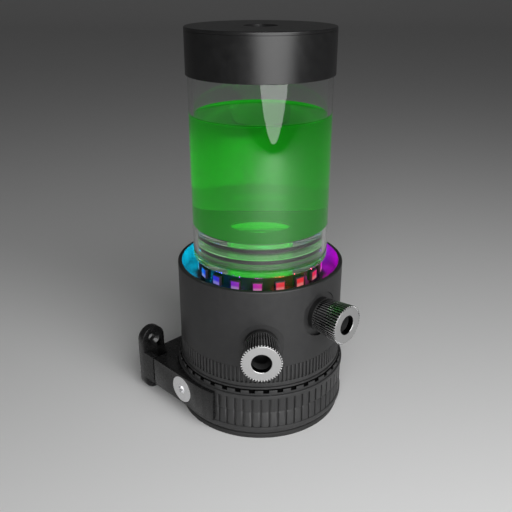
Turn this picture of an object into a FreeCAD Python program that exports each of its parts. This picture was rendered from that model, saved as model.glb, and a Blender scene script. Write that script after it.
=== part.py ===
import FreeCAD, Part
import math
import os
import Sketcher

# A coolant pump with a glass reservoir on top, standing on its round foot.
# Frame: +Z up, origin at the centre of the foot, on the axis of the pump.
# The inlet port looks along +X, the outlet port 44 degrees towards -Y.
# The bracket's face looks along -Y.

doc = FreeCAD.newDocument("coolant_pump_reservoir")
sheet = doc.addObject("Spreadsheet::Sheet", "sizes")

UP = FreeCAD.Vector(0, 0, 1)
ALONG_Y = FreeCAD.Vector(0, 1, 0)
ORIGIN = FreeCAD.Vector(0, 0, 0)
# Turned pieces that get ports start their turning on the side away from them
SEAM_TURN = 140
# Where things stand round the axis, in degrees from +X
RIB_TURN = 0.8
NOTCH_TURN = 5.5
INLET_TURN = 0
OUTLET_TURN = -44
LIGHT_TURN = -47
BAND_END_TURN = -75
# Lengths below this count as nothing
NOTHING = 1e-9
SAME_PLACE = 1e-4
# The impeller blade's bow, its tip and its middle, as shares of the blade's length and bow
BLADE_BOW = 0.35
BLADE_TIP_REACH = 0.9
BLADE_TIP_BOW = 1.2
CONTACT_COUNT = 4
sheet_row = 0


class Size:
    """A length or count that carries its value and the sheet expression it is bound to."""

    def __init__(self, value, text):
        self.value = value
        self.text = text

    def __add__(self, other):
        other = as_size(other)
        return Size(self.value + other.value, f"({self.text} + {other.text})")

    def __sub__(self, other):
        other = as_size(other)
        return Size(self.value - other.value, f"({self.text} - {other.text})")

    def __mul__(self, other):
        other = as_size(other)
        return Size(self.value * other.value, f"({self.text} * {other.text})")

    def __truediv__(self, other):
        other = as_size(other)
        return Size(self.value / other.value, f"({self.text} / {other.text})")

    def __neg__(self):
        return Size(-self.value, f"(0 - {self.text})")

    __radd__ = __add__
    __rmul__ = __mul__


def as_size(number):
    return number if isinstance(number, Size) else Size(float(number), repr(float(number)))


def square_root(number):
    return Size(math.sqrt(number.value), f"sqrt({number.text})")


def size(alias, value):
    """Write one driving dimension into the sheet and return it."""
    global sheet_row
    sheet_row += 1
    sheet.set(f"A{sheet_row}", alias)
    sheet.set(f"B{sheet_row}", str(value))
    sheet.setAlias(f"B{sheet_row}", alias)
    return Size(float(value), f"sizes.{alias}")


# Clearances
slip = size("slip", 0.05)
seal_slack = size("seal_slack", 0.02)

# Foot, motor can and sleeve
foot_margin = size("foot_margin", 0.7)
foot_height = size("foot_height", 2.4)
foot_round = size("foot_round", 0.5)
can_radius = size("can_radius", 36.0)
can_wall = size("can_wall", 3.0)
can_floor = size("can_floor", 2.0)
can_lip_width = size("can_lip_width", 1.3)
can_lip_height = size("can_lip_height", 1.55)
can_height = size("can_height", 20.6)
sleeve_wall = size("sleeve_wall", 3.25)
sleeve_height = size("sleeve_height", 19.3)
sleeve_lip_height = size("sleeve_lip_height", 0.85)
sleeve_lip_setback = size("sleeve_lip_setback", 0.4)
lower_flange_height = size("lower_flange_height", 2.85)
upper_flange_height = size("upper_flange_height", 1.8)
rib_setback = size("rib_setback", 0.4)
rib_count = size("rib_count", 64)
rib_gap = size("rib_gap", 0.8)
rib_depth = size("rib_depth", 0.8)
waist_groove = size("waist_groove", 1.0)
waist_slope = size("waist_slope", 0.7)
waist_depth = size("waist_depth", 0.45)
socket_width = size("socket_width", 11.0)
socket_height = size("socket_height", 6.0)
socket_depth = size("socket_depth", 7.0)
socket_shell = size("socket_shell", 0.8)
contact_side = size("contact_side", 0.6)

# Ring nut that clamps the sleeve
nut_setback = size("nut_setback", 0.6)
nut_height = size("nut_height", 2.3)
notch_count = size("notch_count", 39)
notch_width = size("notch_width", 2.6)
notch_depth = size("notch_depth", 1.2)
notch_height = size("notch_height", 1.4)

# Isolation cup, rotor and stator
cup_wall = size("cup_wall", 1.2)
cup_bore_radius = size("cup_bore_radius", 10.5)
cup_depth = size("cup_depth", 22.2)
cup_floor = size("cup_floor", 2.0)
cup_deck = size("cup_deck", 2.35)
cup_flange = size("cup_flange", 1.2)
pump_flange_setback = size("pump_flange_setback", 0.2)
pin_radius = size("pin_radius", 1.5)
pin_seat = size("pin_seat", 1.5)
bush_wall = size("bush_wall", 1.5)
rotor_gap = size("rotor_gap", 0.6)
rotor_end_gap = size("rotor_end_gap", 0.3)
magnet_height = size("magnet_height", 17.5)
impeller_radius = size("impeller_radius", 17.0)
impeller_disc = size("impeller_disc", 1.6)
impeller_lift = size("impeller_lift", 0.5)
blade_height = size("blade_height", 5.2)
blade_width = size("blade_width", 1.3)
blade_count = size("blade_count", 7)
stator_radius = size("stator_radius", 27.0)
stator_yoke = size("stator_yoke", 4.5)
stator_height = size("stator_height", 11.0)
stator_base = size("stator_base", 10.0)
tooth_count = size("tooth_count", 6)
tooth_width = size("tooth_width", 5.0)
coil_width = size("coil_width", 1.6)
coil_inner_radius = size("coil_inner_radius", 14.5)
coil_gap = size("coil_gap", 0.6)
board_radius = size("board_radius", 31.5)
board_thickness = size("board_thickness", 1.6)
board_standoff = size("board_standoff", 0.5)
cup_screw_count = size("cup_screw_count", 6)
cup_screw_radius = size("cup_screw_radius", 1.0)
cup_screw_head = size("cup_screw_head", 1.25)
cup_screw_length = size("cup_screw_length", 6.0)

# Lock ring with vertical flutes
ring_base = size("ring_base", 25.8)
ring_overhang = size("ring_overhang", 0.1)
ring_height = size("ring_height", 10.6)
ring_lip = size("ring_lip", 2.8)
ring_bead = size("ring_bead", 0.5)
ring_bead_height = size("ring_bead_height", 0.95)
ring_groove = size("ring_groove", 0.3)
ring_lip_reach = size("ring_lip_reach", 1.6)
flute_count = size("flute_count", 120)
flute_width = size("flute_width", 1.0)
flute_depth = size("flute_depth", 0.8)
flute_height = size("flute_height", 7.6)

# Pump housing
housing_radius = size("housing_radius", 37.3)
housing_height = size("housing_height", 35.95)
spigot_setback = size("spigot_setback", 2.7)
chamber_radius = size("chamber_radius", 19.0)
chamber_height = size("chamber_height", 10.0)
rim_wall = size("rim_wall", 1.8)
rim_round = size("rim_round", 0.6)
channel_depth = size("channel_depth", 7.8)
neck_radius = size("neck_radius", 26.4)
neck_rise = size("neck_rise", 2.9)
suction_radius = size("suction_radius", 8.0)
port_thread_radius = size("port_thread_radius", 6.2)
port_thread_depth = size("port_thread_depth", 9.5)
port_bore_radius = size("port_bore_radius", 4.0)
port_setback = size("port_setback", 1.3)
port_recess_radius = size("port_recess_radius", 10.0)
inlet_level = size("inlet_level", 57.0)
outlet_level = size("outlet_level", 47.5)
riser_distance = size("riser_distance", 14.0)
riser_radius = size("riser_radius", 3.8)

# Lights round the neck
strip_thickness = size("strip_thickness", 0.3)
strip_height = size("strip_height", 9.8)
strip_rise = size("strip_rise", 0.5)
light_count = size("light_count", 18)
light_side = size("light_side", 4.5)
light_depth = size("light_depth", 1.5)

# Clear base plug, glass tube and coolant
tube_radius = size("tube_radius", 30.0)
tube_wall = size("tube_wall", 2.0)
tube_length = size("tube_length", 88.1)
plug_flange = size("plug_flange", 2.6)
plug_rise = size("plug_rise", 12.1)
plug_thread_radius = size("plug_thread_radius", 20.0)
plug_thread_length = size("plug_thread_length", 8.5)
plug_bore_radius = size("plug_bore_radius", 9.5)
seal_groove_depth = size("seal_groove_depth", 1.6)
seal_groove_width = size("seal_groove_width", 2.4)
seal_spacing = size("seal_spacing", 5.0)
lower_seal_rise = size("lower_seal_rise", 3.4)
coolant_depth = size("coolant_depth", 47.5)

# Cap
cap_wall = size("cap_wall", 0.71)
cap_height = size("cap_height", 18.5)
cap_skirt = size("cap_skirt", 12.2)
cap_round = size("cap_round", 0.9)
cap_plug_length = size("cap_plug_length", 10.0)
cap_plug_wall = size("cap_plug_wall", 2.6)
cap_roof = size("cap_roof", 3.5)
fill_boss_radius = size("fill_boss_radius", 9.5)
fill_thread_length = size("fill_thread_length", 9.3)

# Hose fittings
fitting_reach = size("fitting_reach", 15.4)
fitting_flange_radius = size("fitting_flange_radius", 7.3)
fitting_flange_width = size("fitting_flange_width", 2.2)
fitting_thread_radius = size("fitting_thread_radius", 6.3)
fitting_thread_length = size("fitting_thread_length", 6.4)
fitting_bore_radius = size("fitting_bore_radius", 3.0)
hose_radius = size("hose_radius", 4.2)
hose_depth = size("hose_depth", 5.6)
collar_rear_radius = size("collar_rear_radius", 7.5)
collar_face_radius = size("collar_face_radius", 8.6)
collar_end_wall = size("collar_end_wall", 2.6)
ferrule_wall = size("ferrule_wall", 2.0)
knurl_count = size("knurl_count", 44)
knurl_width = size("knurl_width", 0.55)
knurl_depth = size("knurl_depth", 0.35)
face_seal_radius = size("face_seal_radius", 0.42)
face_seal_wall = size("face_seal_wall", 0.25)

# Bracket
band_wall = size("band_wall", 1.85)
bracket_base = size("bracket_base", 8.0)
bracket_height = size("bracket_height", 14.3)
block_length = size("block_length", 27.2)
block_corner = size("block_corner", 11.0)
block_inset = size("block_inset", 3.0)
pocket_length = size("pocket_length", 8.2)
slit = size("slit", 1.0)
web_thickness = size("web_thickness", 3.0)
tongue_thickness = size("tongue_thickness", 6.6)
tongue_setback = size("tongue_setback", 1.5)
tongue_skin = size("tongue_skin", 1.25)
tongue_height = size("tongue_height", 8.0)
plate_thickness = size("plate_thickness", 3.8)
plate_inset = size("plate_inset", 2.7)
plate_width = size("plate_width", 12.6)
plate_length = size("plate_length", 33.6)
plate_ground_gap = size("plate_ground_gap", 0.2)
plate_hole_spacing = size("plate_hole_spacing", 21.0)
plate_hole_radius = size("plate_hole_radius", 1.7)
plate_sink_radius = size("plate_sink_radius", 3.4)
clamp_screw_offset = size("clamp_screw_offset", 9.6)
clamp_screw_radius = size("clamp_screw_radius", 3.0)
clamp_head_radius = size("clamp_head_radius", 6.3)
clamp_screw_length = size("clamp_screw_length", 8.0)
hex_key = size("hex_key", 3.6)
hex_depth = size("hex_depth", 1.8)
foot_screw_radius = size("foot_screw_radius", 1.5)
foot_screw_head = size("foot_screw_head", 2.5)
foot_screw_head_height = size("foot_screw_head_height", 2.0)
foot_screw_grip = size("foot_screw_grip", 1.2)

doc.recompute()

# Radii of the stack, each from the one inside it
can_lip_radius = can_radius + can_lip_width
foot_radius = can_lip_radius + foot_margin
sleeve_bore = can_radius + slip
sleeve_flange_radius = sleeve_bore + sleeve_wall
sleeve_rib_radius = sleeve_flange_radius - rib_setback
nut_radius = sleeve_flange_radius - nut_setback
band_inner_radius = sleeve_flange_radius + slip
bracket_reach = band_inner_radius + band_wall
ring_radius = housing_radius + ring_overhang
spigot_radius = housing_radius - spigot_setback
ring_lip_radius = spigot_radius - ring_lip_reach
cup_neck_radius = ring_lip_radius - slip
pump_flange_radius = spigot_radius - pump_flange_setback
cap_radius = tube_radius + slip + cap_wall
port_face = housing_radius - port_setback
fitting_face = port_face + fitting_reach

# Levels, from the foot upwards
can_base = foot_height
sleeve_base = can_base + can_lip_height + slip
can_top = can_base + can_height
sleeve_top = sleeve_base + sleeve_height
nut_base = sleeve_top + slip
nut_top = nut_base + nut_height
lip_top = ring_base + ring_lip
cup_top = lip_top + slip + cup_deck
cup_bottom = cup_top - cup_depth - cup_floor
housing_shoulder = ring_base + ring_height + slip
rim_top = housing_shoulder + housing_height
channel_floor = rim_top - channel_depth
neck_top = rim_top + neck_rise
chamber_top = cup_top + chamber_height
tube_inner_radius = tube_radius - tube_wall
plug_radius = tube_inner_radius - slip
tube_base = neck_top + plug_flange
tube_top = tube_base + tube_length
plug_top = tube_base + plug_rise
coolant_top = plug_top + coolant_depth
cap_base = tube_top - cap_skirt
cap_top = cap_base + cap_height
seal_radius = seal_groove_depth / 2 + slip / 2 - seal_slack
seal_centre = tube_inner_radius - seal_slack - seal_radius
board_base = can_base + can_floor + board_standoff
bracket_middle = bracket_base + bracket_height / 2


def origin_part(body, role):
    """A plane or axis of the body's own origin."""
    for feature in body.Origin.OriginFeatures:
        if feature.Role == role:
            return feature
    raise ValueError(role)


def new_body(label):
    body = doc.addObject("PartDesign::Body", label)
    body.Label = label
    return body


def place_point(sketch, edge, across, up):
    """Bind the first point of an edge to sizes; a point on an axis is tied to that axis."""
    for kind, axis, amount in (("DistanceX", -2, across), ("DistanceY", -1, up)):
        if abs(amount.value) < NOTHING:
            sketch.addConstraint(Sketcher.Constraint("PointOnObject", edge, 1, axis))
            continue
        number = sketch.addConstraint(Sketcher.Constraint(kind, -1, 1, edge, 1, amount.value))
        sketch.setExpression(f"Constraints[{number}]", amount.text)


def outline(body, name, points, plane, level=None):
    """A closed outline of straight lines, each corner bound to the sheet."""
    sketch = body.newObject("Sketcher::SketchObject", name)
    sketch.AttachmentSupport = (origin_part(body, plane), [""])
    sketch.MapMode = "FlatFace"
    if level is not None:
        sketch.setExpression(".AttachmentOffset.Base.z", level.text)
    corners = [(as_size(across), as_size(up)) for across, up in points]
    for number, (across, up) in enumerate(corners):
        next_across, next_up = corners[(number + 1) % len(corners)]
        start = FreeCAD.Vector(across.value, up.value, 0)
        end = FreeCAD.Vector(next_across.value, next_up.value, 0)
        sketch.addGeometry(Part.LineSegment(start, end), False)
    for number in range(len(corners)):
        following = (number + 1) % len(corners)
        sketch.addConstraint(Sketcher.Constraint("Coincident", number, 2, following, 1))
    for number, (across, up) in enumerate(corners):
        place_point(sketch, number, across, up)
    return sketch


def hexagon(body, name, across_flats):
    """A hexagonal key outline on the body's XY plane."""
    half = across_flats / 2
    corner = across_flats / math.sqrt(3)
    return outline(body, name, [
        (corner, 0),
        (corner / 2, half),
        (-corner / 2, half),
        (-corner, 0),
        (-corner / 2, -half),
        (corner / 2, -half),
    ], "XY_Plane")


def turned(label, points):
    """A body turned about its own Z axis from an outline of radius and height."""
    body = new_body(label)
    sketch = outline(body, label + "_outline", points, "XZ_Plane")
    turning = body.newObject("PartDesign::Revolution", label + "_turning")
    turning.Profile = sketch
    turning.ReferenceAxis = (sketch, ["V_Axis"])
    turning.Angle = 360
    sketch.Visibility = False
    doc.recompute()
    return body


def padded(body, name, sketch, length):
    pad = body.newObject("PartDesign::Pad", name)
    pad.Profile = sketch
    pad.setExpression("Length", length.text)
    doc.recompute()
    return pad


def pocketed(body, name, sketch, length, spread=None):
    """Cut an outline upwards into the body, leaning out by spread, and see that it cuts."""
    before = body.Shape.Volume
    pocket = body.newObject("PartDesign::Pocket", name)
    pocket.Profile = sketch
    pocket.Reversed = True
    if spread is not None:
        pocket.UseCustomVector = True
        pocket.Direction = FreeCAD.Vector(-spread.value, 0, -length.value)
        pocket.AlongSketchNormal = True
    pocket.setExpression("Length", length.text)
    doc.recompute()
    if body.Shape.Volume >= before - 1e-6:
        raise ValueError(name + " cuts nothing")
    return pocket


def round_the_body(body, name, feature, count):
    """Repeat a cut evenly round the body's Z axis."""
    pattern = body.newObject("PartDesign::PolarPattern", name)
    pattern.Originals = [feature]
    pattern.Axis = (origin_part(body, "Z_Axis"), [""])
    pattern.Angle = 360
    pattern.setExpression("Occurrences", count.text)
    body.Tip = pattern
    doc.recompute()
    return pattern


def circle_edges(shape, rings):
    """Names of the round edges about Z that have one of the given radii and heights."""
    names = []
    for number, edge in enumerate(shape.Edges, 1):
        if not isinstance(edge.Curve, Part.Circle):
            continue
        centre = edge.Curve.Center
        off_axis = math.hypot(centre.x, centre.y)
        for radius, level in rings:
            misses = (edge.Curve.Radius - radius.value, centre.z - level.value, off_axis)
            if max(abs(miss) for miss in misses) < SAME_PLACE:
                names.append(f"Edge{number}")
    return names


def rounded(body, name, rings, radius):
    """Round the circular edges of the body at the given radii and heights."""
    base = body.Tip
    names = circle_edges(base.Shape, rings)
    if not names:
        raise ValueError(name + " finds no edge")
    fillet = body.newObject("PartDesign::Fillet", name)
    fillet.Base = (base, names)
    fillet.setExpression("Radius", radius.text)
    body.Tip = fillet
    doc.recompute()
    return fillet


def cut_away(label, base, *tools):
    """A piece left when the tools are taken out of the base, one after the other."""
    for number, tool in enumerate(tools, 1):
        last = number == len(tools)
        piece = doc.addObject("Part::Cut", label if last else f"{label}_cut_{number}")
        piece.Base = base
        piece.Tool = tool
        base = piece
        doc.recompute()
    piece.Label = label
    return piece


def stand_across(piece, level, turn):
    """Lay a piece's own Z axis flat, pointing away from the pump at the given angle and height."""
    lying = FreeCAD.Rotation(ALONG_Y, 90)
    turned_round = FreeCAD.Rotation(UP, turn)
    piece.Placement = FreeCAD.Placement(FreeCAD.Vector(0, 0, level.value), turned_round.multiply(lying))
    piece.setExpression(".Placement.Base.z", level.text)
    doc.recompute()


def block(name, low, high):
    """A box between two corners, each bound to the sheet."""
    low = [as_size(amount) for amount in low]
    high = [as_size(amount) for amount in high]
    box = doc.addObject("Part::Box", name)
    for side, axis, first, last in zip(("Length", "Width", "Height"), "xyz", low, high):
        box.setExpression(side, (last - first).text)
        box.setExpression(f".Placement.Base.{axis}", first.text)
    doc.recompute()
    return box


def rod(name, radius, length, across, along, level):
    """An upright round bar."""
    bar = doc.addObject("Part::Cylinder", name)
    bar.setExpression("Radius", radius.text)
    bar.setExpression("Height", length.text)
    for axis, amount in zip("xyz", (across, along, level)):
        bar.setExpression(f".Placement.Base.{axis}", as_size(amount).text)
    doc.recompute()
    return bar


def seal_ring(label, centre_radius, section_radius, level):
    """One O-ring lying flat."""
    ring = doc.addObject("Part::Torus", label)
    ring.Label = label
    ring.setExpression("Radius1", centre_radius.text)
    ring.setExpression("Radius2", section_radius.text)
    ring.setExpression(".Placement.Base.z", level.text)
    doc.recompute()
    return ring


def loose_group(label, solids):
    """Identical small pieces kept together as separate solids."""
    group = doc.addObject("Part::Feature", label)
    group.Label = label
    group.Shape = Part.makeCompound(solids)
    return group


def turned_copies(solid, count, start=0.0):
    copies = []
    for number in range(int(count.value)):
        copy = solid.copy()
        copy.rotate(ORIGIN, UP, start + 360.0 * number / int(count.value))
        copies.append(copy)
    return copies


pieces = []


def keep(piece):
    pieces.append(piece)
    return piece


# Rubber foot pad
foot_pad = turned("foot_pad", [
    (0, 0),
    (foot_radius, 0),
    (foot_radius, foot_height),
    (0, foot_height),
])
rounded(foot_pad, "foot_pad_edges", [(foot_radius, as_size(0)), (foot_radius, foot_height)], foot_round)
keep(foot_pad)

# Motor can with its bottom lip, board standoffs and the opening for the power socket
can_shell = turned("can_shell", [
    (0, can_base),
    (can_lip_radius, can_base),
    (can_lip_radius, can_base + can_lip_height),
    (can_radius, can_base + can_lip_height),
    (can_radius, can_top),
    (can_radius - can_wall, can_top),
    (can_radius - can_wall, can_base + can_floor),
    (board_radius, can_base + can_floor),
    (board_radius, board_base),
    (board_radius - can_wall, board_base),
    (board_radius - can_wall, can_base + can_floor),
    (0, can_base + can_floor),
])
socket_base = board_base + board_thickness
socket_back = sleeve_flange_radius - socket_depth
socket_cutter = block(
    "socket_opening",
    (-socket_width / 2 - slip, socket_back - can_wall, socket_base - slip),
    (socket_width / 2 + slip, sleeve_flange_radius + can_wall, socket_base + socket_height + slip),
)


def upright_bars(count, radius, length, distance, level):
    """Solids of upright bars spread evenly round the axis."""
    centre = FreeCAD.Vector(distance.value, 0, level.value)
    bar = Part.makeCylinder(radius.value, length.value, centre, UP)
    return turned_copies(bar, count)


cup_screw_distance = can_radius - can_wall / 2
cup_flange_top = can_top + cup_flange
cup_screw_holes = loose_group("cup_screw_holes", upright_bars(
    cup_screw_count, cup_screw_radius, cup_screw_length + cup_screw_head,
    cup_screw_distance, cup_flange_top - cup_screw_length))
clamp_thread_hole = doc.addObject("Part::Cylinder", "clamp_thread_hole")
clamp_thread_hole.setExpression("Radius", (clamp_screw_radius + slip).text)
clamp_thread_hole.setExpression("Height", (clamp_screw_length + slip).text)
clamp_thread_hole.Placement.Rotation = FreeCAD.Rotation(FreeCAD.Vector(1, 0, 0), -90)
for axis, amount in zip("xyz", (-clamp_screw_offset, -bracket_reach, bracket_middle)):
    clamp_thread_hole.setExpression(f".Placement.Base.{axis}", amount.text)
doc.recompute()
motor_can = keep(cut_away("motor_can", can_shell, socket_cutter, cup_screw_holes, clamp_thread_hole))

# Control board and the parts on it
control_board = keep(turned("control_board", [
    (0, board_base),
    (board_radius, board_base),
    (board_radius, board_base + board_thickness),
    (0, board_base + board_thickness),
]))
board_top = board_base + board_thickness
# Middle in x and y, length, width and height of each chip, in millimetres
CHIPS = [
    (-22, 6, 7, 7, 1.2),
    (-20, -12, 5, 4, 1.5),
    (16, 18, 4, 6, 2.0),
    (22, -8, 6, 6, 2.4),
    (4, -24, 8, 4, 1.0),
]
chips = []
for chip_x, chip_y, chip_long, chip_wide, chip_tall in CHIPS:
    corner = FreeCAD.Vector(chip_x - chip_long / 2, chip_y - chip_wide / 2, board_top.value)
    chips.append(Part.makeBox(chip_long, chip_wide, chip_tall, corner))
keep(loose_group("board_chips", chips))

# Power socket with its four contacts, on the side away from the ports
socket_body = block(
    "socket_body",
    (-socket_width / 2, socket_back, socket_base),
    (socket_width / 2, sleeve_flange_radius, socket_base + socket_height),
)
socket_hollow = block(
    "socket_hollow",
    (-socket_width / 2 + socket_shell, socket_back + socket_shell, socket_base + socket_shell),
    (socket_width / 2 - socket_shell, sleeve_flange_radius + socket_shell,
     socket_base + socket_height - socket_shell),
)
keep(cut_away("power_socket", socket_body, socket_hollow))
contact_pitch = (socket_width.value - 2 * socket_shell.value) / CONTACT_COUNT
contact_length = socket_depth.value - 2 * socket_shell.value
contact_thick = contact_side.value
contacts = []
for number in range(CONTACT_COUNT):
    contact_x = (number - (CONTACT_COUNT - 1) / 2) * contact_pitch
    corner = FreeCAD.Vector(
        contact_x - contact_thick / 2,
        socket_back.value + socket_shell.value,
        socket_base.value + (socket_height.value - contact_thick) / 2,
    )
    contacts.append(Part.makeBox(contact_thick, contact_length, contact_thick, corner))
keep(loose_group("socket_contacts", contacts))

# Ribbed sleeve
rib_base = sleeve_base + lower_flange_height
lip_radius = sleeve_flange_radius - sleeve_lip_setback
rib_top = sleeve_top - upper_flange_height
waist_base = (rib_base + rib_top) / 2 - waist_groove / 2
sleeve_shell = turned("sleeve_shell", [
    (sleeve_bore, sleeve_base),
    (lip_radius, sleeve_base),
    (lip_radius, sleeve_base + sleeve_lip_height),
    (sleeve_flange_radius, sleeve_base + sleeve_lip_height),
    (sleeve_flange_radius, rib_base),
    (sleeve_rib_radius, rib_base),
    (sleeve_rib_radius, waist_base),
    (sleeve_rib_radius - waist_depth, waist_base + waist_slope),
    (sleeve_rib_radius - waist_depth, waist_base + waist_groove),
    (sleeve_rib_radius, waist_base + waist_groove),
    (sleeve_rib_radius, rib_top),
    (sleeve_flange_radius, rib_top),
    (sleeve_flange_radius, sleeve_top),
    (sleeve_bore, sleeve_top),
])
rib_sketch = outline(sleeve_shell, "rib_gap_outline", [
    (sleeve_rib_radius - rib_depth, -rib_gap / 2),
    (sleeve_rib_radius + rib_gap, -rib_gap / 2),
    (sleeve_rib_radius + rib_gap, rib_gap / 2),
    (sleeve_rib_radius - rib_depth, rib_gap / 2),
], "XY_Plane", rib_base)
rib_cut = pocketed(sleeve_shell, "rib_gap_cut", rib_sketch, rib_top - rib_base)
round_the_body(sleeve_shell, "ribs", rib_cut, rib_count)
sleeve_shell.Placement = FreeCAD.Placement(ORIGIN, FreeCAD.Rotation(UP, RIB_TURN))
keep(cut_away("damper_sleeve", sleeve_shell, socket_cutter, clamp_thread_hole))

# Ring nut with wrench notches in its top edge
ring_nut = turned("ring_nut", [
    (sleeve_bore, nut_base),
    (nut_radius, nut_base),
    (nut_radius, nut_top),
    (sleeve_bore, nut_top),
])
notch_sketch = outline(ring_nut, "notch_outline", [
    (nut_radius - notch_depth, -notch_width / 2),
    (nut_radius + notch_depth, -notch_width / 2),
    (nut_radius + notch_depth, notch_width / 2),
    (nut_radius - notch_depth, notch_width / 2),
], "XY_Plane", nut_top - notch_height)
notch_cut = pocketed(ring_nut, "notch_cut", notch_sketch, notch_height)
round_the_body(ring_nut, "notches", notch_cut, notch_count)
ring_nut.Placement = FreeCAD.Placement(ORIGIN, FreeCAD.Rotation(UP, NOTCH_TURN))
keep(ring_nut)

# Isolation cup: the dry wall between the coolant and the motor
cup_shell = turned("cup_shell", [
    (0, cup_bottom),
    (cup_bore_radius + cup_wall, cup_bottom),
    (cup_bore_radius + cup_wall, cup_top - cup_deck),
    (cup_neck_radius - can_wall, cup_top - cup_deck),
    (cup_neck_radius - can_wall, can_top),
    (can_radius, can_top),
    (can_radius, cup_flange_top),
    (cup_neck_radius, cup_flange_top),
    (cup_neck_radius, lip_top + slip),
    (pump_flange_radius, lip_top + slip),
    (pump_flange_radius, cup_top),
    (cup_bore_radius, cup_top),
    (cup_bore_radius, cup_bottom + cup_floor),
    (pin_radius, cup_bottom + cup_floor),
    (pin_radius, cup_bottom + cup_floor - pin_seat),
    (0, cup_bottom + cup_floor - pin_seat),
])
keep(cut_away("isolation_cup", cup_shell, cup_screw_holes))
cup_screw_solids = []
for shank in upright_bars(cup_screw_count, cup_screw_radius, cup_screw_length,
                          cup_screw_distance, cup_flange_top - cup_screw_length):
    head_base = FreeCAD.Vector(shank.BoundBox.Center.x, shank.BoundBox.Center.y, cup_flange_top.value)
    head = Part.makeCylinder(cup_screw_head.value, cup_screw_head.value, head_base, UP)
    cup_screw_solids.append(shank.fuse(head).removeSplitter())
keep(loose_group("cup_screws", cup_screw_solids))

# Bearing pin, bush, magnet and impeller
pin_base = cup_bottom + cup_floor - pin_seat
rotor_base = cup_bottom + cup_floor + rotor_end_gap
rotor_radius = cup_bore_radius - rotor_gap
bush_radius = pin_radius + slip + bush_wall
magnet_top = rotor_base + magnet_height
disc_base = cup_top + impeller_lift
disc_top = disc_base + impeller_disc
blade_top = disc_top + blade_height
pin_top = disc_top + impeller_disc
keep(turned("bearing_pin", [
    (0, pin_base),
    (pin_radius, pin_base),
    (pin_radius, pin_top),
    (0, pin_top),
]))
keep(turned("rotor_bush", [
    (pin_radius + slip, rotor_base),
    (bush_radius, rotor_base),
    (bush_radius, disc_top),
    (pin_radius + slip, disc_top),
]))
keep(turned("rotor_magnet", [
    (bush_radius, rotor_base),
    (rotor_radius, rotor_base),
    (rotor_radius, magnet_top),
    (bush_radius, magnet_top),
]))
blade_root = bush_radius + bush_wall * 2
impeller_hub = turned("impeller_hub", [
    (bush_radius, magnet_top),
    (blade_root, magnet_top),
    (blade_root, disc_base),
    (impeller_radius, disc_base),
    (impeller_radius, disc_top),
    (bush_radius, disc_top),
])
blade_bow = (impeller_radius.value - blade_root.value) * BLADE_BOW
blade_sag = blade_bow * BLADE_BOW
blade_inner = FreeCAD.Vector(blade_root.value, 0, disc_top.value)
blade_outer = FreeCAD.Vector(
    impeller_radius.value * BLADE_TIP_REACH, blade_bow * BLADE_TIP_BOW, disc_top.value)
blade_middle = (blade_inner + blade_outer) / 2 + FreeCAD.Vector(blade_sag, -blade_sag, 0)
blade_thick = FreeCAD.Vector(0, blade_width.value, 0)
blade_edges = [
    Part.Arc(blade_inner, blade_middle, blade_outer).toShape(),
    Part.LineSegment(blade_outer, blade_outer + blade_thick).toShape(),
    Part.Arc(blade_outer + blade_thick, blade_middle + blade_thick, blade_inner + blade_thick).toShape(),
    Part.LineSegment(blade_inner + blade_thick, blade_inner).toShape(),
]
blade = Part.Face(Part.Wire(blade_edges)).extrude(UP * blade_height.value)
blade_solids = turned_copies(blade, blade_count)
blades = loose_group("impeller_blades", blade_solids)
impeller = doc.addObject("Part::MultiFuse", "impeller")
impeller.Label = "impeller"
impeller.Shapes = [impeller_hub, blades]
doc.recompute()
keep(impeller)

# Stator core with its teeth, and a coil round each tooth
core_inner = cup_bore_radius + cup_wall
core_base = stator_base.value
core = Part.makeCylinder(stator_radius.value, stator_height.value, FreeCAD.Vector(0, 0, core_base), UP)
yoke_hole = Part.makeCylinder(
    stator_radius.value - stator_yoke.value, stator_height.value, FreeCAD.Vector(0, 0, core_base), UP)
cup_hole = Part.makeCylinder(core_inner.value, stator_height.value, FreeCAD.Vector(0, 0, core_base), UP)
tooth_reach = stator_radius.value - stator_yoke.value / 2
tooth_corner = FreeCAD.Vector(0, -tooth_width.value / 2, core_base)
tooth = Part.makeBox(tooth_reach, tooth_width.value, stator_height.value, tooth_corner)
stator = core.cut(yoke_hole).fuse(turned_copies(tooth, tooth_count)).cut(cup_hole).removeSplitter()
stator_core = doc.addObject("Part::Feature", "stator_core")
stator_core.Label = "stator_core"
stator_core.Shape = stator
keep(stator_core)
coil_length = stator_radius.value - stator_yoke.value - coil_inner_radius.value - coil_gap.value
coil_outside = Part.makeBox(
    coil_length,
    tooth_width.value + 2 * coil_width.value,
    stator_height.value + 2 * coil_width.value,
    FreeCAD.Vector(
        coil_inner_radius.value, -tooth_width.value / 2 - coil_width.value, core_base - coil_width.value),
)
coil_inside = Part.makeBox(
    coil_length, tooth_width.value, stator_height.value,
    FreeCAD.Vector(coil_inner_radius.value, -tooth_width.value / 2, core_base),
)
keep(loose_group("stator_windings", turned_copies(coil_outside.cut(coil_inside), tooth_count)))

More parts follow.
